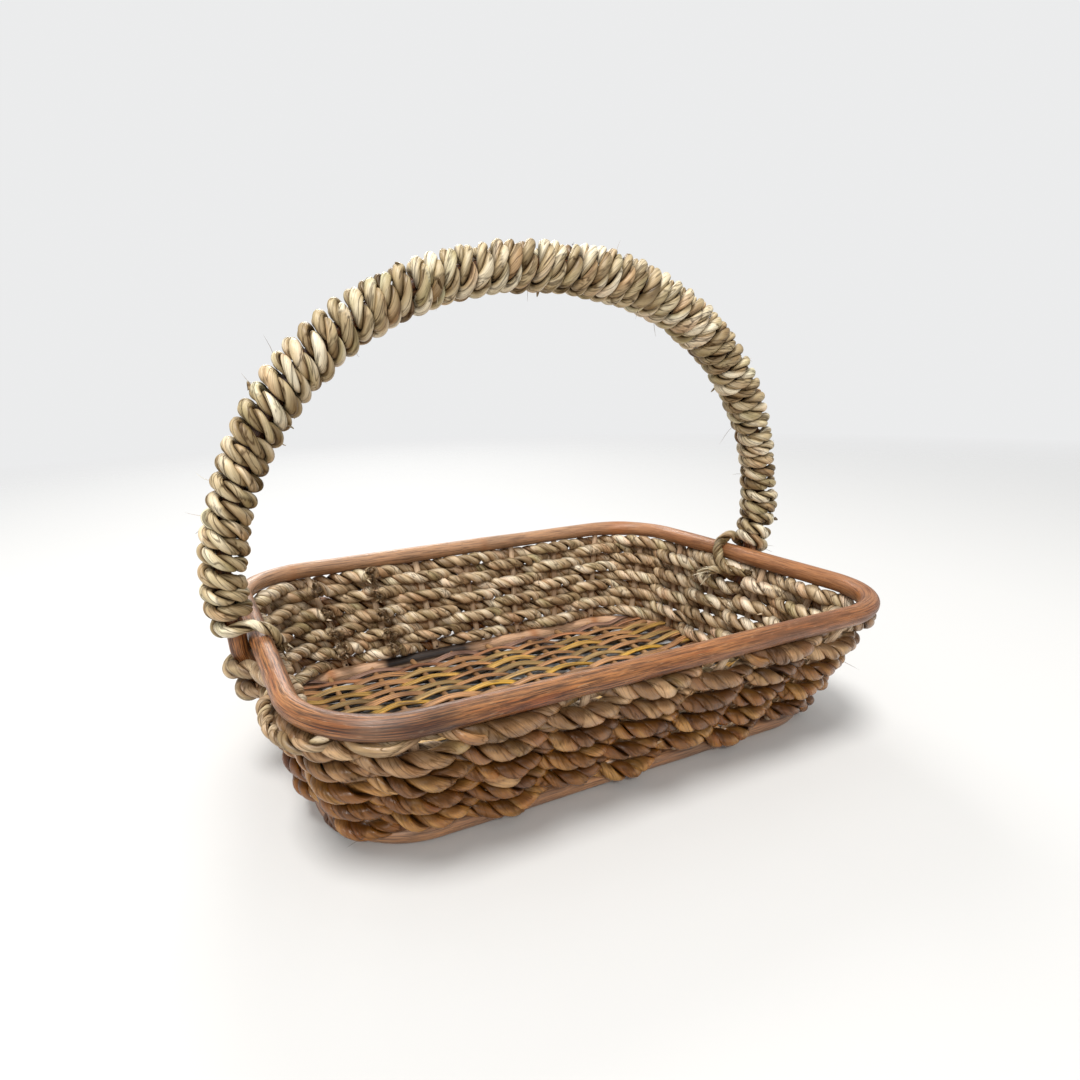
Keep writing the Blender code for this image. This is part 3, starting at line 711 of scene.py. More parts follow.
def base_binding(materials):
    """Four turns of thin dark cane round the base hoop's joint, at the front left corner."""
    rng = np.random.default_rng(13)
    low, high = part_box("base_splice_binding")
    middle = np.array([(low.x + high.x) / 2, (low.y + high.y) / 2, BASE.height])
    hoop = BASE.line(0.0006)
    nearest = np.argmin(np.linalg.norm(hoop.points - middle, axis=-1))
    shell = Shell()
    turns = 5
    half = 0.0086
    for number in range(turns):
        offset = (number - (turns - 1) / 2) / turns * 2 * half
        slant = rng.uniform(0.0006, 0.0013)
        share = np.linspace(0, 1, 60, endpoint=False)
        places = offset + slant * np.sin(TAU * share)
        index = (nearest + np.round(places / 0.0006).astype(int)) % len(hoop.points)
        radius = BASE.radius + 0.0005 + 0.00025 * np.sin(TAU * share * 3 + number)
        spoke = (np.cos(TAU * share)[:, None] * hoop.out[index]
                 + np.sin(TAU * share)[:, None] * np.array([0, 0, 1.0]))
        exact = hoop.points[nearest] + hoop.along[nearest] * places[:, None]
        bend = hoop.points[index] - hoop.points[nearest]
        sag = bend - hoop.along[nearest] * np.sum(bend * hoop.along[nearest], axis=-1, keepdims=True)
        round_hoop = exact + sag + radius[:, None] * spoke
        round_hoop[:, 2] = np.maximum(round_hoop[:, 2], 0.0007)
        loop = Line(round_hoop, spoke, closed=True)
        turn = angles(10)
        across = 0.00055 * np.sign(np.cos(turn)) * np.abs(np.cos(turn)) ** 0.7
        sideways = 0.00165 * np.sign(np.sin(turn)) * np.abs(np.sin(turn)) ** 0.7
        wavy = 1 + 0.08 * dapple(loop, 10, 0.006, 5, rng)
        skin(shell, loop, across * wavy, sideways * wavy, (rng.uniform(), 0.0, 0.0), rng.uniform(0, 5))
    shell.piece("base_binding", materials["binding"], "cane_binding", "base_splice_binding")


def stakes(materials):
    """Peeled canes from the base hoop up to the rim, each with a dark nail at its foot.

    tone: hue, unused, darker near the ends.
    """
    rng = np.random.default_rng(21)
    shell = Shell()
    nails = Shell()
    for number in range(STAKE_COUNT):
        fraction = (number - STAKE_SHIFT) / STAKE_COUNT
        foot, head = BASE.at(np.array([fraction]))[0], RIM.at(np.array([fraction]))[0]
        slope = unit(head - foot)
        low, high = foot + slope * (BASE.radius - 0.002), head - slope * (RIM.radius - 0.002)
        share = np.linspace(0, 1, 50)[:, None]
        _, out = wall_surface(np.array([float(number)]), np.array([0.04]))
        line = Line(low + (high - low) * share, out[0])
        bow = 0.0004 * wander(line, 0.04, rng)
        sway = 0.0006 * wander(line, 0.05, rng)
        line = Line(line.points + bow[:, None] * line.out + sway[:, None] * line.side, out[0])
        sides = 16
        turn = angles(sides)
        size = 1 + 0.05 * dapple(line, sides, 0.02, 8, rng) + 0.06 * wander(line, 0.03, rng)[:, None]
        hue = rng.uniform()
        ends = np.maximum(bell(share, 0.0, 0.05), bell(share, 1.0, 0.05))
        tone = np.stack([np.full_like(ends, hue), ends * 0, ends], axis=-1)
        skin(shell, line, 0.00175 * size * np.cos(turn), 0.00225 * size * np.sin(turn),
             np.broadcast_to(tone, (50, sides, 3)), rng.uniform(0, 5))
        inward = -out[0]
        spot = low + slope * 0.0035 + inward * 0.0017
        add_nail(nails, spot, inward, 0.0009)
    names = [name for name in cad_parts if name.startswith("stake_")]
    shell.piece("stakes", materials["stake"], "cane_stake", *names)
    nails.piece("stake_nails", materials["nail"], "cane_binding")


def add_nail(shell, place, heading, radius):
    """A small domed nail head."""
    share = np.array([0.0, 0.45, 0.75, 0.93, 1.0])
    line = Line(place + heading * (share * 0.0007)[:, None], np.cross(heading, (0.1, 0.2, 1.0)))
    turn = angles(12)
    profile = radius * np.sqrt(np.maximum(1 - share ** 2.5, 0.02))[:, None]
    skin(shell, line, profile * np.cos(turn), profile * np.sin(turn), (0.0, 0.0, 0.0))


# Handle

class WrapRope(Rope):
    """The handle's rope, thinner than the walls' rope."""
    lay = 0.0205
    reach = 0.00190
    thickness = 0.0042
    width = 0.0053
    lumps = 0.14
    leaf_pitch = 0.045
    leaf_length = 0.026
    unevenness = 1.0
    tail = 0.036


def handle_pole(materials):
    rng = np.random.default_rng(33)
    points = resample(handle_points(POLE_TIP[1]), 0.002)
    line = Line(points, (0, 1.0, 0))
    height = points[:, 2]
    radius = pole_radius(height) - 0.0010 * smoothstep(0.090, 0.100, height)
    tip = 1 - smoothstep(POLE_TIP[1], POLE_TIP[1] + 0.02, height)
    # tone y: painted shade on the pole where it runs under the wrap.
    tone = np.stack([0.2 * tip, 0.6 * smoothstep(0.088, 0.100, height), 0.25 * tip], axis=-1)
    shell = Shell()
    add_pole(shell, line, radius, 24, np.broadcast_to(tone[:, None], (len(points), 24, 3)), rng)
    shell.piece("handle_pole_core", materials["rattan"], "rattan_pole", "handle_pole")


def over_rim(reach, degrees, y):
    """A point beside the right end of the rim: 0 degrees is outside, 90 above and 180 inside."""
    turn = math.radians(degrees)
    return (RIM.half_length + reach * math.cos(turn), y, RIM.height + reach * math.sin(turn))


def left_tail():
    """Control points of the rope's left end, over the rim in front of the pole and down a little inside."""
    reach = RIM.radius + 0.0036
    points = [over_rim(reach + 0.002, 78, 0.0088), over_rim(reach, 118, 0.0106),
              over_rim(reach, 160, 0.0110), over_rim(reach + 0.0005, 190, 0.0104)]
    return np.array(points) * (-1, -1, 1)


def right_tail():
    """Control points of the right end, over the rim behind the pole, then forward below the rim's inside."""
    reach = RIM.radius + 0.0034
    edge = RIM.half_length
    points = [over_rim(reach + 0.0025, 74, 0.0110), over_rim(reach, 110, 0.0135),
              over_rim(reach, 148, 0.0128), over_rim(reach, 182, 0.0098),
              (edge - 0.0108, 0.0030, RIM.height - 0.0074), (edge - 0.0088, -0.0060, RIM.height - 0.0098),
              (edge - 0.0042, -0.0150, RIM.height - 0.0106)]
    return np.array(points)


def rim_spokes(tail):
    """Directions from the rim's centre line to a tail's points."""
    hub_x = np.sign(tail[:, 0]) * RIM.half_length
    hub = np.stack([hub_x, tail[:, 1], np.full(len(tail), RIM.height)], axis=-1)
    return unit(tail - hub)


def handle_wrap_line(rng):
    """Centre line of the rope wound round the handle, with both tails, and its outward directions."""
    spine = handle_points(min(WRAP_LOW_Z))
    wrapped = spine[:, 2] >= np.where(spine[:, 0] < 0, *WRAP_LOW_Z)
    spine = resample(spine[wrapped], 0.0005)
    axis = Line(spine, (0, 1.0, 0))
    turns = round(axis.length / WRAP_PITCH) + 3 / 8
    share = np.linspace(0, 1, round(turns * 24) + 1)
    drift = Line(np.stack([share * axis.length, share * 0, share * 0], axis=-1), (0, 0, 1.0))
    free = np.minimum(1, 30 * share * (1 - share))
    pushed = share * axis.length + 0.0012 * wander(drift, 0.011, rng) * free
    centre = np.stack([np.interp(pushed, axis.travel, column) for column in spine.T], axis=-1)
    along = unit(np.stack([np.interp(pushed, axis.travel, column) for column in axis.along.T], axis=-1))
    outward = np.stack([-along[:, 2], 0 * share, along[:, 0]], axis=-1)
    across = np.cross(along, outward)
    turn = TAU * (turns * share - 3 / 16)
    spoke = np.cos(turn)[:, None] * outward - np.sin(turn)[:, None] * across
    radius = WRAP_RADIUS + 0.0004 * wander(drift, 0.006, rng) + 0.0005 * wander(drift, 0.03, rng)
    coil = centre + radius[:, None] * spoke
    low = np.exp(-np.maximum(centre[:, 2] - min(WRAP_LOW_Z), 0) / 0.010)
    coil[:, 2] -= WRAP_TILT * low * spoke[:, 0] * np.sign(centre[:, 0])
    left, right = left_tail()[::-1], right_tail()
    controls = np.vstack([left, coil, right])
    spokes = np.vstack([rim_spokes(left), spoke, rim_spokes(right)])
    curve = smooth_curve(controls, 8)
    steps = np.linspace(0, len(controls) - 1, len(curve))
    out = np.stack([np.interp(steps, np.arange(len(controls)), column) for column in spokes.T], axis=-1)
    curve, out = resample(curve, WrapRope.step, out)
    return Line(curve, out)


def handle_wrap(materials):
    """The coil as three pieces of one continuous rope, with torn leaf at its ends. Returns its line."""
    rng = np.random.default_rng(41)
    line = handle_wrap_line(rng)
    strands = lay_strands(line, WrapRope, rng, np.full(len(line.points), -0.01), ends=(0.004, 0.004))
    names = ("left", "top", "right")
    cuts = np.linspace(0, len(line.points) - 1, len(names) + 1).astype(int)
    for name, first, last in zip(names, cuts, cuts[1:] + 1):
        shell = Shell()
        for thread, *rings, grain in strands:
            skin(shell, thread.part(first, last), *(values[first:last] for values in rings), grain)
        nodes = ("handle_wrap_rope",) if name == "top" else ()
        shell.piece(f"handle_wrap_{name}", materials["seagrass_handle"], "seagrass_handle", *nodes)
    strands = [thread for thread, *_ in strands]
    tufts = Shell()
    for tip, heading in ((0, -1), (-1, 1)):
        finish_rope_end(tufts, strands, tip, heading, WrapRope, rng)
    torn_end(tufts, rng)
    tufts.piece("handle_tail_tufts", materials["seagrass_handle"], "seagrass_handle")
    return line


def torn_end(shell, rng):
    """The frayed stub that points backward from under the right tail, inside the rim."""
    edge = RIM.half_length
    points = smooth_curve([(edge - 0.0078, -0.0050, RIM.height - 0.0096),
                           (edge - 0.0108, 0.0035, RIM.height - 0.0104),
                           (edge - 0.0136, 0.0120, RIM.height - 0.0130)], 16)
    line = Line(resample(points, 0.0007), (-0.7, 0, 0.7))
    add_rope(shell, line, WrapRope, rng, np.full(len(line.points), -0.01), ends=(0, 0.003))
    heading = line.along[-1]
    across = unit(np.cross(heading, (0.2, 0.1, 1.0)))
    upward = np.cross(across, heading)
    for _ in range(26):
        turn, share = rng.uniform(0, TAU), math.sqrt(rng.uniform())
        spoke = math.cos(turn) * across + math.sin(turn) * upward
        lean = unit(heading + 0.55 * share * spoke + 0.18 * rng.normal(size=3))
        tone = (0.0, rng.uniform(0.8, 1.5), rng.uniform(0.0, 0.2))
        add_blade(shell, line.points[-1] + 0.0030 * share * spoke - 0.002 * heading, lean,
                  0.25 * rng.normal(size=3) + (0, 0, -0.15), rng.uniform(0.007, 0.012),
                  rng.uniform(0.0010, 0.0024), 0.00030, tone, rng)


# Floor

FLOOR_CROWN = 0.0030
FLOOR_EDGE_Z = 0.0055
RIB_RADIUS = 0.0016
STRIP_PITCH = 0.0061
STRIP_COUNT = 28
EXTRA_STRIP = -1            # number of the one beside the base hoop's front, before the others
STRIP_LIFT = 0.0023


def floor_height(y):
    return FLOOR_EDGE_Z + FLOOR_CROWN * (1 - (y / BASE.half_width) ** 2)


def rib_x(number):
    low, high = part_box(f"floor_rib_{number + 1}")
    return (low.x + high.x) / 2


def hoop_inside(distance, half, other_half):
    """Half of the room inside the base hoop across one axis, at a distance along the other one."""
    beyond = np.maximum(0.0, np.abs(distance) - (half - BASE.corner))
    return other_half - BASE.corner + np.sqrt(np.maximum(BASE.corner ** 2 - beyond ** 2, 0)) - BASE.radius


def floor_ribs(materials):
    rng = np.random.default_rng(55)
    shell = Shell()
    for number in range(RIB_COUNT):
        x = rib_x(number)
        end = hoop_inside(x, BASE.half_length, BASE.half_width) + 0.001
        share = np.linspace(-1, 1, 120)
        y = share * end
        points = np.stack([np.full_like(y, x), y, floor_height(y)], axis=-1)
        line = Line(points, (0, 0, 1.0))
        bowed = np.stack([0.0007 * wander(line, 0.05, rng), 0 * y, 0 * y], axis=-1)
        line = Line(points + bowed, (0, 0, 1.0))
        hue = np.full((120, 14, 3), (rng.uniform(), 0.0, 0.15))
        add_pole(shell, line, RIB_RADIUS * 1.2, 14, hue, rng, 0.04, 0.05)
    names = [f"floor_rib_{number + 1}" for number in range(RIB_COUNT)]
    shell.piece("floor_ribs", materials["rib"], "cane_rib", *names)


STRIP_COLOURS = {
    "brown": (172, 128, 86), "red": (150, 104, 72), "purple": (130, 100, 84), "olive": (164, 134, 84),
    "grey": (192, 170, 138), "ochre": (184, 146, 76), "yellow": (222, 174, 70), "dark": (104, 76, 54),
}


YELLOW_STRIP = 17
OCHRE_STRIPS = (8, 22)


def strip_colour(number, rng):
    """Mostly browns, with the floor's few yellow and ochre strips."""
    if number == YELLOW_STRIP:
        return "yellow"
    if number in OCHRE_STRIPS:
        return "ochre"
    return rng.choice(["brown", "brown", "red", "purple", "olive", "grey", "brown", "dark", "olive"])


def floor_strips(materials):
    """Split canes along the floor, over one rib and under the next, with their ends over the base hoop."""
    rng = np.random.default_rng(61)
    ribs = [rib_x(number) for number in range(RIB_COUNT)]
    pitch = (ribs[-1] - ribs[0]) / (RIB_COUNT - 1)
    strands = sorted(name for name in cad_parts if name.startswith("floor_strand_"))
    groups = 4
    for group in range(groups):
        shell = Shell()
        for number in range(group * STRIP_COUNT // groups, (group + 1) * STRIP_COUNT // groups):
            add_strip(shell, number, ribs[0], pitch, rng)
        if group == 0:
            add_strip(shell, EXTRA_STRIP, ribs[0], pitch, np.random.default_rng(62))
        shell.piece(f"floor_weave_{group + 1}", materials["strip"], "cane_brown", *strands[group::groups])


def add_strip(shell, number, first_rib, pitch, rng):
    """One strip. tone is its own colour times painted light: painted shade on its underside and nearly black
    on its lower passes, with painted highlights along its edges.
    """
    y = (number - (STRIP_COUNT - 1) / 2) * STRIP_PITCH
    inside = hoop_inside(y, BASE.half_width, BASE.half_length)
    x = np.linspace(-inside - rng.uniform(0.001, 0.004), inside + rng.uniform(0.001, 0.005), 420)
    side = 1 if number % 2 else -1
    wave = side * STRIP_LIFT * -np.cos(math.pi * (x - first_rib) / pitch)
    flat = 1 - smoothstep(inside - 0.022, inside - 0.001, np.abs(x))
    end_height = BASE.height + BASE.radius * 0.75 + rng.uniform(0.0, 0.0025)
    line = Line(np.stack([x, 0 * x, 0 * x], axis=-1), (0, 0, 1.0))
    height = (floor_height(y) + wave) * flat + end_height * (1 - flat) + 0.0004 * wander(line, 0.02, rng)
    sway = 0.0011 * wander(line, 0.03, rng) + 0.0007 * wander(line, 0.012, rng)
    fan = (1 - flat) * rng.uniform(-0.006, 0.006) * np.where(x > 0, 1.0, 0.7)
    points = np.stack([x, y + sway + fan, height], axis=-1)
    roll = 0.20 * wander(line, 0.04, rng)
    out = np.stack([0 * x, np.sin(roll), np.cos(roll)], axis=-1)
    points, out = resample(points, 0.0010, out)
    line = Line(points, out)
    sides = 14
    turn = angles(sides)
    middle_x = line.points[:, 0]
    loose = smoothstep(-0.02, 0.0, middle_x) * (1 - smoothstep(0.07, 0.09, middle_x))
    level = line.points[:, 2] - floor_height(y)
    raised = smoothstep(-0.9 * STRIP_LIFT, 0.4 * STRIP_LIFT, level)
    hole = loose * bell(y, 0.034, 0.014)
    low_width = 0.0072 - 0.0040 * hole
    width = low_width + (rng.uniform(0.0048, 0.0057) - low_width) * raised
    width = width * (1 + 0.08 * wander(line, 0.03, rng) + 0.05 * wander(line, 0.008, rng))
    width = width[:, None] / 2
    thickness = rng.uniform(0.0014, 0.0019) / 2
    ridges = 1 + 0.16 * dapple(line, sides, 0.02, 7, rng)
    across = thickness * ridges * np.sign(np.cos(turn)) * np.abs(np.cos(turn)) ** 0.6
    sideways = width * np.sign(np.sin(turn)) * np.abs(np.sin(turn)) ** 0.8
    colour = np.array(paint(*STRIP_COLOURS[strip_colour(number, rng)])[:3]) * rng.uniform(0.75, 1.15)
    # Painted shade underneath and painted highlights along the edges.
    upper = smoothstep(-0.25, 0.45, np.cos(turn))
    shade = 0.15 + 0.85 * upper + 0.35 * bell(np.abs(np.sin(turn)), 0.95, 0.15)
    # Painted shade: the lower passes, under the ribs, are drawn nearly black.
    sunk = 0.07 + 0.93 * smoothstep(0.10, 0.62, raised)
    tone = (sunk[:, None] * shade)[..., None] * colour
    skin(shell, line, across, sideways, tone, rng.uniform(0, 5))


# Loose leaf and fibres

def wall_point(place, height, offset):
    """A point beside the wall: place in stakes, height, and how far outside the wall's middle."""
    middle, out = wall_surface(np.array([place]), np.array([height]))
    return middle[0] + offset * out[0]


LOOSE_STRANDS = (
    # each its thickness, its share of the outside's varnish and painted shade, and a run of (place, height,
    # distance outside the wall)
    (0.0054, 0.6, ((9.36, 0.0765, 0.0010), (9.52, 0.0740, 0.0052), (9.80, 0.0732, 0.0062),
                   (10.08, 0.0745, 0.0030))),
    (0.0050, 0.8, ((10.40, 0.0750, 0.0030), (10.52, 0.0725, 0.0076), (10.68, 0.0700, 0.0078),
                   (10.80, 0.0680, 0.0040))),
    (0.0050, 0.9, ((14.20, 0.0745, 0.0030), (14.34, 0.0720, 0.0076), (14.50, 0.0700, 0.0076),
                   (14.62, 0.0680, 0.0040))),
    (0.0072, 0.9, ((10.62, 0.0440, 0.0040), (10.80, 0.0405, 0.0082), (11.02, 0.0370, 0.0084),
                   (11.20, 0.0345, 0.0040))),
)
CORNER_LOOP = ((7.95, 0.0745, 0.0030), (8.08, 0.0728, 0.0085), (8.30, 0.0705, 0.0104), (8.55, 0.0710, 0.0104),
               (8.78, 0.0715, 0.0100), (9.00, 0.0725, 0.0090), (9.16, 0.0740, 0.0065), (9.27, 0.0755, 0.0030))


class LooseRope(Rope):
    """The slack loop's rope, drawn thinner."""
    reach = 0.00145
    thickness = 0.0033
    width = 0.0039
    lay = 0.0180


def loose_strands(materials):
    """Single strands of leaf, most from under the rim, and the slack loop at the front left corner."""
    rng = np.random.default_rng(91)
    shell = Shell()
    for thickness, finish, places in LOOSE_STRANDS:
        points = resample(smooth_curve([wall_point(*place) for place in places], 24), 0.0006)
        _, out = wall_surface(np.array([places[0][0]]), np.array([places[0][1]]))
        line = Line(points, out[0])
        turn = angles(16)
        share = line.travel / line.length
        taper = 0.35 + 0.65 * np.sin(math.pi * share) ** 0.6
        leaf = (turn / TAU + line.travel[:, None] / 0.03 + rng.uniform()) % 1.0
        size = taper[:, None] * (1 + 0.08 * dapple(line, 16, 0.008, 7, rng) + 0.12 * (leaf - 0.5))
        # edge: painted shade along the leaf's free edges.
        edge = 0.6 * np.maximum(bell(leaf, 0.0, 0.04), bell(leaf, 1.0, 0.04))
        dark = 0.6 * np.maximum(bell(share, 0, 0.15), bell(share, 1, 0.15))
        hue = rng.uniform(0.6, 0.9) + 0.2 * wander(line, 0.01, rng)
        tone = np.stack(np.broadcast_arrays(finish, hue[:, None], np.maximum(dark[:, None], edge)), axis=-1)
        half = thickness / 2 * size
        skin(shell, line, 0.70 * half * np.cos(turn), half * np.sin(turn), tone, rng.uniform(0, 5))
    points = resample(smooth_curve([wall_point(*place) for place in CORNER_LOOP], 24), 0.0007)
    _, out = wall_surface(np.array([8.7]), np.array([0.07]))
    line = Line(points, out[0])
    add_rope(shell, line, LooseRope, rng, np.full(len(line.points), 0.003), stain=0.15)
    shell.piece("loose_strands", materials["seagrass_wall"], "seagrass_wall")


def loose_leaf(materials, rows, wrap_line):
    """Torn leaf tips and hair-thin fibres that stand off the ropes."""
    rng = np.random.default_rng(77)
    walls, handle = Shell(), Shell()
    for _ in range(110):
        line, offset = rows[rng.integers(len(rows))]
        spot = rng.integers(60, len(line.points) - 60)
        facing = 1.0 if offset[spot] > 0 else -1.0
        add_scrap(walls, line, spot, facing * line.out[spot], 0.7 if facing > 0 else 0.05, rng)
    for _ in range(70):
        spot = rng.integers(60, len(wrap_line.points) - 60)
        add_scrap(handle, wrap_line, spot, wrap_line.out[spot], 0.0, rng)
    walls.piece("wall_leaf_scraps", materials["seagrass_wall"], "seagrass_wall")
    handle.piece("handle_leaf_scraps", materials["seagrass_handle"], "seagrass_handle")


def add_scrap(shell, line, spot, facing, finish, rng):
    """One torn leaf tip or, more often, a thin fibre, lying along the rope and lifting off it."""
    heading = unit(line.along[spot] * rng.choice([-1, 1]) + 0.35 * facing + 0.4 * rng.normal(size=3))
    curl = 0.35 * facing + 0.35 * rng.normal(size=3)
    root = line.points[spot] + facing * 0.0030 + line.side[spot] * rng.uniform(-0.002, 0.002)
    tone = (finish, rng.uniform(), rng.uniform(0.0, 0.3))
    if rng.uniform() < 0.35:
        add_blade(shell, root, heading, curl * 0.5, rng.uniform(0.003, 0.006), rng.uniform(0.0014, 0.0030),
                  0.0003, tone, rng)
    else:
        add_blade(shell, root, heading, curl, rng.uniform(0.003, 0.009), 0.00025, 0.0002, tone, rng)


# Materials

def node(tree, kind, inputs=None, **settings):
    """Adds a node, sets its options, and sets or links its inputs."""
    item = tree.nodes.new(kind)
    for name, value in settings.items():
        setattr(item, name, value)
    for name, value in (inputs or {}).items():
        if isinstance(value, bpy.types.NodeSocket):
            tree.links.new(value, item.inputs[name])
        else:
            item.inputs[name].default_value = value
    return item


def noise(tree, vector, stretch, detail=3.0, roughness=0.55):
    """Noise whose features are 1/stretch long in each direction."""
    scaled = node(tree, "ShaderNodeVectorMath", {0: vector, 1: stretch}, operation="MULTIPLY").outputs[0]
    return node(tree, "ShaderNodeTexNoise", {"Vector": scaled, "Scale": 1.0, "Detail": detail,
                                             "Roughness": roughness}).outputs[0]


def ramp(tree, factor, stops):
    """A colour ramp; stops are (place, colour)."""
    item = node(tree, "ShaderNodeValToRGB", {0: factor})
    elements = item.color_ramp.elements
    elements[0].position, elements[0].color = stops[0]
    elements[1].position, elements[1].color = stops[-1]
    for place, colour in stops[1:-1]:
        elements.new(place).color = colour
    return item.outputs[0]


def span(tree, value, low, high, to_low=0.0, to_high=1.0):
    """Maps a value's range low..high to another, clamped."""
    return node(tree, "ShaderNodeMapRange", {0: value, 1: low, 2: high, 3: to_low, 4: to_high}).outputs[0]


def mix(tree, factor, first, second, blend="MIX"):
    item = node(tree, "ShaderNodeMix", data_type="RGBA", blend_type=blend)
    for index, value in ((0, factor), (6, first), (7, second)):
        if isinstance(value, bpy.types.NodeSocket):
            tree.links.new(value, item.inputs[index])
        else:
            item.inputs[index].default_value = value
    return item.outputs[2]


def maths(tree, operation, first, second):
    return node(tree, "ShaderNodeMath", {0: first, 1: second}, operation=operation).outputs[0]


def new_material(name):
    """A material's tree, with its fibre vector, its three tone shares and its shader."""
    material = bpy.data.materials.new(name)
    material.use_nodes = True
    tree = material.node_tree
    fibre = node(tree, "ShaderNodeAttribute", attribute_name="fibre").outputs["Vector"]
    tone = node(tree, "ShaderNodeAttribute", attribute_name="tone").outputs["Vector"]
    shares = node(tree, "ShaderNodeSeparateXYZ", {0: tone}).outputs
    return material, tree, fibre, tone, shares, tree.nodes["Principled BSDF"]


def finish_material(tree, shader, colour, roughness, bump, bump_size):
    tree.links.new(colour, shader.inputs["Base Color"])
    tree.links.new(roughness, shader.inputs["Roughness"])
    raised = node(tree, "ShaderNodeBump", {"Height": bump, "Distance": bump_size, "Strength": 1.0})
    tree.links.new(raised.outputs[0], shader.inputs["Normal"])


def seagrass_material(name, inside, outside):
    """Dried twisted leaf: slow changes of hue, fine lengthwise fibres, brown specks, and painted shade in
    folds, crevices and along free edges.

    inside and outside are four colours each, from dark to pale; tone x blends between them. The outside's
    colours are varnish darkened with painted shade.
    """
    material, tree, fibre, _, shares, shader = new_material(name)
    slow = noise(tree, fibre, (130, 130, 60), 2.0)
    # tone y: hue, which also carries the painted highlight on each strand's crest.
    hue = maths(tree, "ADD", maths(tree, "MULTIPLY", slow, 0.8), maths(tree, "MULTIPLY", shares[1], 0.75))
    hue = span(tree, hue, 0.38, 1.15)
    places = (0.0, 0.38, 0.70, 1.0)
    dull = ramp(tree, hue, list(zip(places, inside)))
    glossy_shaded = ramp(tree, hue, list(zip(places, outside)))
    # tone x: the outside's palette, varnish that is darker and browner also as painted shade.
    colour = mix(tree, shares[0], dull, glossy_shaded)
    tint = noise(tree, fibre, (60, 60, 34), 1.0)
    colour = mix(tree, span(tree, tint, 0.54, 0.70, 0.0, 0.55), colour, paint(214, 226, 190), "MULTIPLY")
    colour = mix(tree, span(tree, tint, 0.46, 0.30, 0.0, 0.60), colour, paint(255, 222, 202), "MULTIPLY")
    streaks = noise(tree, fibre, (2600, 2600, 60), 3.0, 0.6)
    colour = mix(tree, 1.0, colour, ramp(tree, streaks, [(0.30, (0.58, 0.54, 0.50, 1)), (0.48, (1, 1, 1, 1)),
                                                         (0.75, (1.22, 1.2, 1.16, 1))]), "MULTIPLY")
    specks = noise(tree, fibre, (900, 900, 300), 2.0)
    colour = mix(tree, span(tree, specks, 0.62, 0.74, 0.0, 0.6), colour, paint(86, 56, 32))
    # Dark fold lines: painted shade in the leaf's creases.
    folds = noise(tree, fibre, (220, 220, 44), 1.5)
    ridge = maths(tree, "ABSOLUTE", maths(tree, "SUBTRACT", folds, 0.5), 0.0)
    fold = span(tree, ridge, 0.005, 0.022, 1.0, 0.0)
    fold = maths(tree, "MULTIPLY", fold, span(tree, shares[0], 0.0, 1.0, 0.66, 0.36))
    colour = mix(tree, fold, colour, paint(54, 32, 12))
    # tone z: painted shade in crevices, between rows, along leaf edges and in the rolled ends, and darker cut
    # ends.
    colour = mix(tree, span(tree, shares[2], 0.08, 0.95, 0.0, 0.92), colour, paint(44, 24, 8))
    gloss = span(tree, shares[0], 0.0, 1.0, 0.46, 0.19)
    roughness = maths(tree, "ADD", gloss, span(tree, streaks, 0.3, 0.7, 0.10, -0.06))
    roughness = maths(tree, "ADD", roughness, span(tree, shares[2], 0.2, 0.8, 0.0, 0.25))
    shine = span(tree, shares[2], 0.1, 0.7, 0.6, 0.15)
    shine = maths(tree, "MULTIPLY", shine, span(tree, fold, 0.0, 0.4, 1.0, 0.4))
    tree.links.new(shine, shader.inputs["Specular IOR Level"])
    bump = maths(tree, "ADD", streaks, maths(tree, "MULTIPLY", specks, 0.4))
    bump = maths(tree, "SUBTRACT", bump, maths(tree, "MULTIPLY", fold, 1.8))
    finish_material(tree, shader, colour, roughness, bump, 0.00016)
    return material


def rattan_material():
    """Varnished pole: fine dark pores over streaks of brown, with weathering and painted sheen, stains,
    scorch, painted shade and knots from tone.
    """
    material, tree, fibre, _, shares, shader = new_material("rattan_pole_wood")
    broad = noise(tree, fibre, (60, 60, 14), 2.0)
    bands = noise(tree, fibre, (420, 420, 30), 3.0)
    shade = maths(tree, "ADD", maths(tree, "MULTIPLY", broad, 0.55), maths(tree, "MULTIPLY", bands, 0.45))
    colour = ramp(tree, shade, [(0.36, paint(74, 38, 12)), (0.46, paint(118, 68, 30)),
                                (0.54, paint(150, 100, 56)), (0.66, paint(130, 72, 32))])
    grain = noise(tree, fibre, (1500, 1500, 55), 4.0, 0.65)
    light = ramp(tree, grain, [(0.39, (0.22, 0.16, 0.12, 1)), (0.49, (0.90, 0.87, 0.84, 1)),
                               (0.60, (1.55, 1.48, 1.38, 1))])
    colour = mix(tree, 1.0, colour, light, "MULTIPLY")
    pores = noise(tree, fibre, (3000, 3000, 130), 2.0)
    colour = mix(tree, span(tree, pores, 0.56, 0.64, 0.0, 0.7), colour, paint(50, 27, 14))
    scuffs = noise(tree, fibre, (900, 900, 160), 3.0)
    colour = mix(tree, span(tree, scuffs, 0.62, 0.72, 0.0, 0.45), colour, paint(196, 160, 124))
    # tone x: pale bare or weathered wood, which on the rim also holds painted sheen.
    grey = maths(tree, "MULTIPLY", shares[0], span(tree, grain, 0.36, 0.52, 0.45, 1.0))
    colour = mix(tree, grey, colour, paint(206, 166, 132))
    # tone y: dark stain and scorch, and painted shade on the rim's underside and on the pole under the wrap.
    stain = maths(tree, "MULTIPLY", shares[1], span(tree, grain, 0.35, 0.60, 1.0, 0.94))
    colour = mix(tree, stain, colour, paint(24, 18, 18))
    colour = mix(tree, maths(tree, "MULTIPLY", shares[2], 0.6), colour, paint(162, 92, 32))
    roughness = span(tree, grain, 0.35, 0.65, 0.50, 0.27)
    finish_material(tree, shader, colour, roughness, grain, 0.00022)
    return material


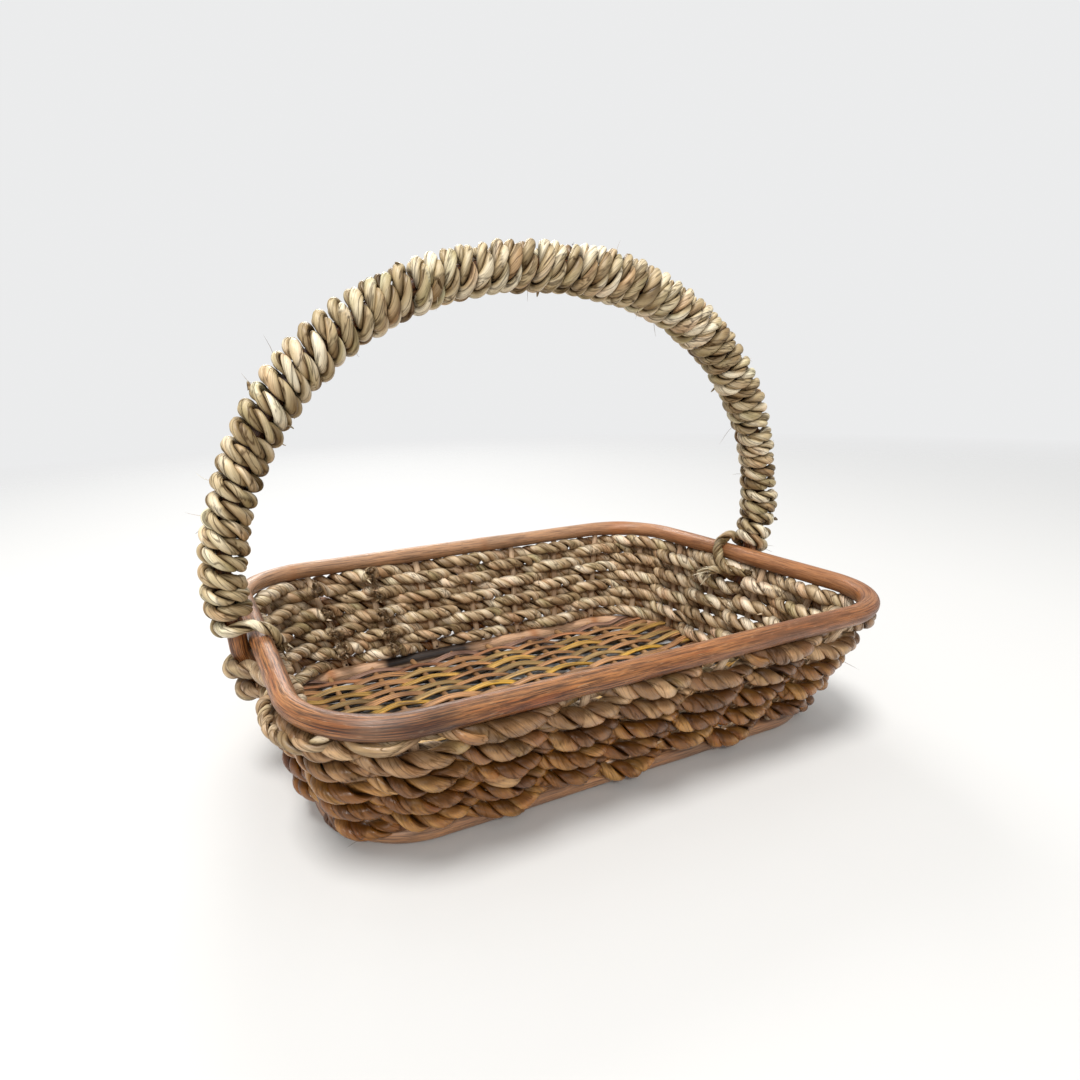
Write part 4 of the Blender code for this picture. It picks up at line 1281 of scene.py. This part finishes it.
def cane_material(name, dark, pale, roughness_range=(0.55, 0.72)):
    """Round cane: tone x shifts the hue and tone z darkens; fine pale and dark threads run lengthwise."""
    material, tree, fibre, _, shares, shader = new_material(name)
    slow = noise(tree, fibre, (120, 120, 30), 2.0)
    hue = maths(tree, "ADD", maths(tree, "MULTIPLY", slow, 0.7), maths(tree, "MULTIPLY", shares[0], 0.3))
    colour = ramp(tree, hue, [(0.25, dark), (0.75, pale)])
    threads = noise(tree, fibre, (2400, 2400, 45), 3.0, 0.6)
    colour = mix(tree, 1.0, colour, ramp(tree, threads, [(0.32, (0.6, 0.55, 0.5, 1)), (0.5, (1, 1, 1, 1)),
                                                         (0.72, (1.15, 1.14, 1.12, 1))]), "MULTIPLY")
    colour = mix(tree, maths(tree, "MULTIPLY", shares[2], 0.7), colour, paint(70, 46, 30))
    roughness = span(tree, threads, 0.3, 0.7, roughness_range[1], roughness_range[0])
    finish_material(tree, shader, colour, roughness, threads, 0.00018)
    return material


def strip_material():
    """Split cane: tone is the strip's own colour with its painted shade and edge highlights, under long
    streaks, stains and a slight sheen.
    """
    material, tree, fibre, tone, _, shader = new_material("split_cane")
    slow = noise(tree, fibre, (60, 60, 24), 3.0)
    colour = mix(tree, 1.0, tone, ramp(tree, slow, [(0.34, (0.48, 0.42, 0.40, 1)), (0.5, (1, 1, 1, 1)),
                                                    (0.66, (1.35, 1.32, 1.25, 1))]), "MULTIPLY")
    streaks = noise(tree, fibre, (1300, 1300, 26), 4.0, 0.66)
    light = ramp(tree, streaks, [(0.36, (0.26, 0.21, 0.19, 1)), (0.48, (0.95, 0.95, 0.95, 1)),
                                 (0.66, (1.55, 1.5, 1.42, 1))])
    colour = mix(tree, 1.0, colour, light, "MULTIPLY")
    stains = noise(tree, fibre, (260, 260, 70), 2.0)
    colour = mix(tree, span(tree, stains, 0.60, 0.72, 0.0, 0.6), colour, paint(70, 44, 34))
    roughness = span(tree, streaks, 0.3, 0.7, 0.62, 0.38)
    finish_material(tree, shader, colour, roughness, streaks, 0.00022)
    return material


def nail_material():
    material, tree, fibre, _, _, shader = new_material("nail_iron")
    rust = noise(tree, fibre, (1500, 1500, 1500), 2.0)
    colour = ramp(tree, rust, [(0.35, paint(46, 38, 34)), (0.65, paint(92, 60, 40))])
    shader.inputs["Metallic"].default_value = 0.6
    finish_material(tree, shader, colour, span(tree, rust, 0.3, 0.7, 0.4, 0.7), rust, 0.0001)
    return material


def make_materials():
    khaki = [paint(100, 76, 50), paint(156, 130, 96), paint(202, 178, 142), paint(240, 224, 198)]
    # The outside's palette: varnish, darker and browner also as painted shade of the outside wall.
    varnished_and_shaded = [paint(62, 30, 0), paint(100, 56, 4), paint(136, 84, 22), paint(184, 134, 70)]
    straw = [paint(92, 72, 42), paint(144, 120, 82), paint(198, 178, 138), paint(246, 234, 206)]
    return {
        "seagrass_wall": seagrass_material("seagrass_wall_leaf", khaki, varnished_and_shaded),
        "seagrass_handle": seagrass_material("seagrass_handle_leaf", straw, varnished_and_shaded),
        "rattan": rattan_material(),
        "stake": cane_material("peeled_cane", paint(182, 148, 116), paint(236, 208, 174)),
        "rib": cane_material("rib_cane", paint(132, 92, 56), paint(196, 154, 106)),
        "strip": strip_material(),
        "binding": cane_material("binding_cane", paint(52, 24, 4), paint(106, 60, 14), (0.35, 0.5)),
        "nail": nail_material(),
    }


# Stage

WORLD_LIGHT = 0.56
BACKDROP = 0.86


def floor_material():
    """Pale floor that fades into the pale surroundings far from the basket."""
    material = bpy.data.materials.new("pale_floor")
    material.use_nodes = True
    tree = material.node_tree
    shader = tree.nodes["Principled BSDF"]
    shader.inputs["Base Color"].default_value = (0.66, 0.66, 0.655, 1)
    shader.inputs["Roughness"].default_value = 0.8
    place = node(tree, "ShaderNodeTexCoord").outputs["Object"]
    distance = node(tree, "ShaderNodeVectorMath", {0: place}, operation="LENGTH").outputs["Value"]
    tree.links.new(span(tree, distance, 0.5, 2.2, 1.0, 0.0), shader.inputs["Alpha"])
    return material


def surroundings():
    """Pale world, brighter as a backdrop than as a light, so that it meets the floor without an edge."""
    world = bpy.data.worlds.new("pale_surroundings")
    world.use_nodes = True
    tree = world.node_tree
    background = tree.nodes["Background"]
    background.inputs["Color"].default_value = (0.97, 0.975, 0.98, 1)
    seen = node(tree, "ShaderNodeLightPath").outputs["Is Camera Ray"]
    tree.links.new(span(tree, seen, 0.0, 1.0, WORLD_LIGHT, BACKDROP), background.inputs["Strength"])
    return world


def stage():
    """Floor, soft light and surroundings."""
    bpy.ops.mesh.primitive_circle_add(vertices=96, radius=2.5, fill_type="NGON", location=(0, 0, -0.0002))
    floor = bpy.context.object
    floor.name = "studio_floor"
    floor.data.materials.append(floor_material())
    lights = (
        ("back_light", (0.50, 2.00, 1.44), 1.00, 24.0, (1.0, 0.99, 0.97)),
        ("top_light", (-0.60, -0.30, 2.30), 0.80, 44.0, (1.0, 0.985, 0.96)),
        ("front_light", (-1.00, -1.90, 1.70), 0.36, 20.0, (1.0, 0.97, 0.92)),
    )
    for name, place, size, power, colour in lights:
        data = bpy.data.lights.new(name, "AREA")
        data.shape = "DISK"
        data.size = size
        data.energy = power
        data.color = colour
        light = bpy.data.objects.new(name, data)
        light.location = place
        aim = -light.location.copy()
        aim.z += 0.08
        light.rotation_euler = aim.to_track_quat("-Z", "Y").to_euler()
        bpy.context.scene.collection.objects.link(light)
    bpy.context.scene.world = surroundings()
    bpy.context.scene.view_settings.view_transform = "Standard"


def add_camera():
    data = bpy.data.cameras.new("camera")
    data.lens = CAMERA_LENS
    data.sensor_width = 36.0
    data.shift_x, data.shift_y = CAMERA_SHIFT
    data.clip_start = 0.01
    camera = bpy.data.objects.new("camera", data)
    camera.location = CAMERA_PLACE
    camera.rotation_euler = [math.radians(value) for value in CAMERA_TURN]
    bpy.context.scene.collection.objects.link(camera)
    bpy.context.scene.camera = camera


def build():
    materials = make_materials()
    rim_hoop(materials)
    base_hoop(materials)
    base_binding(materials)
    stakes(materials)
    rows = wall_ropes(materials)
    handle_pole(materials)
    wrap_line = handle_wrap(materials)
    floor_ribs(materials)
    floor_strips(materials)
    loose_strands(materials)
    loose_leaf(materials, rows, wrap_line)
    stage()
    add_camera()


build()
bpy.context.view_layer.update()
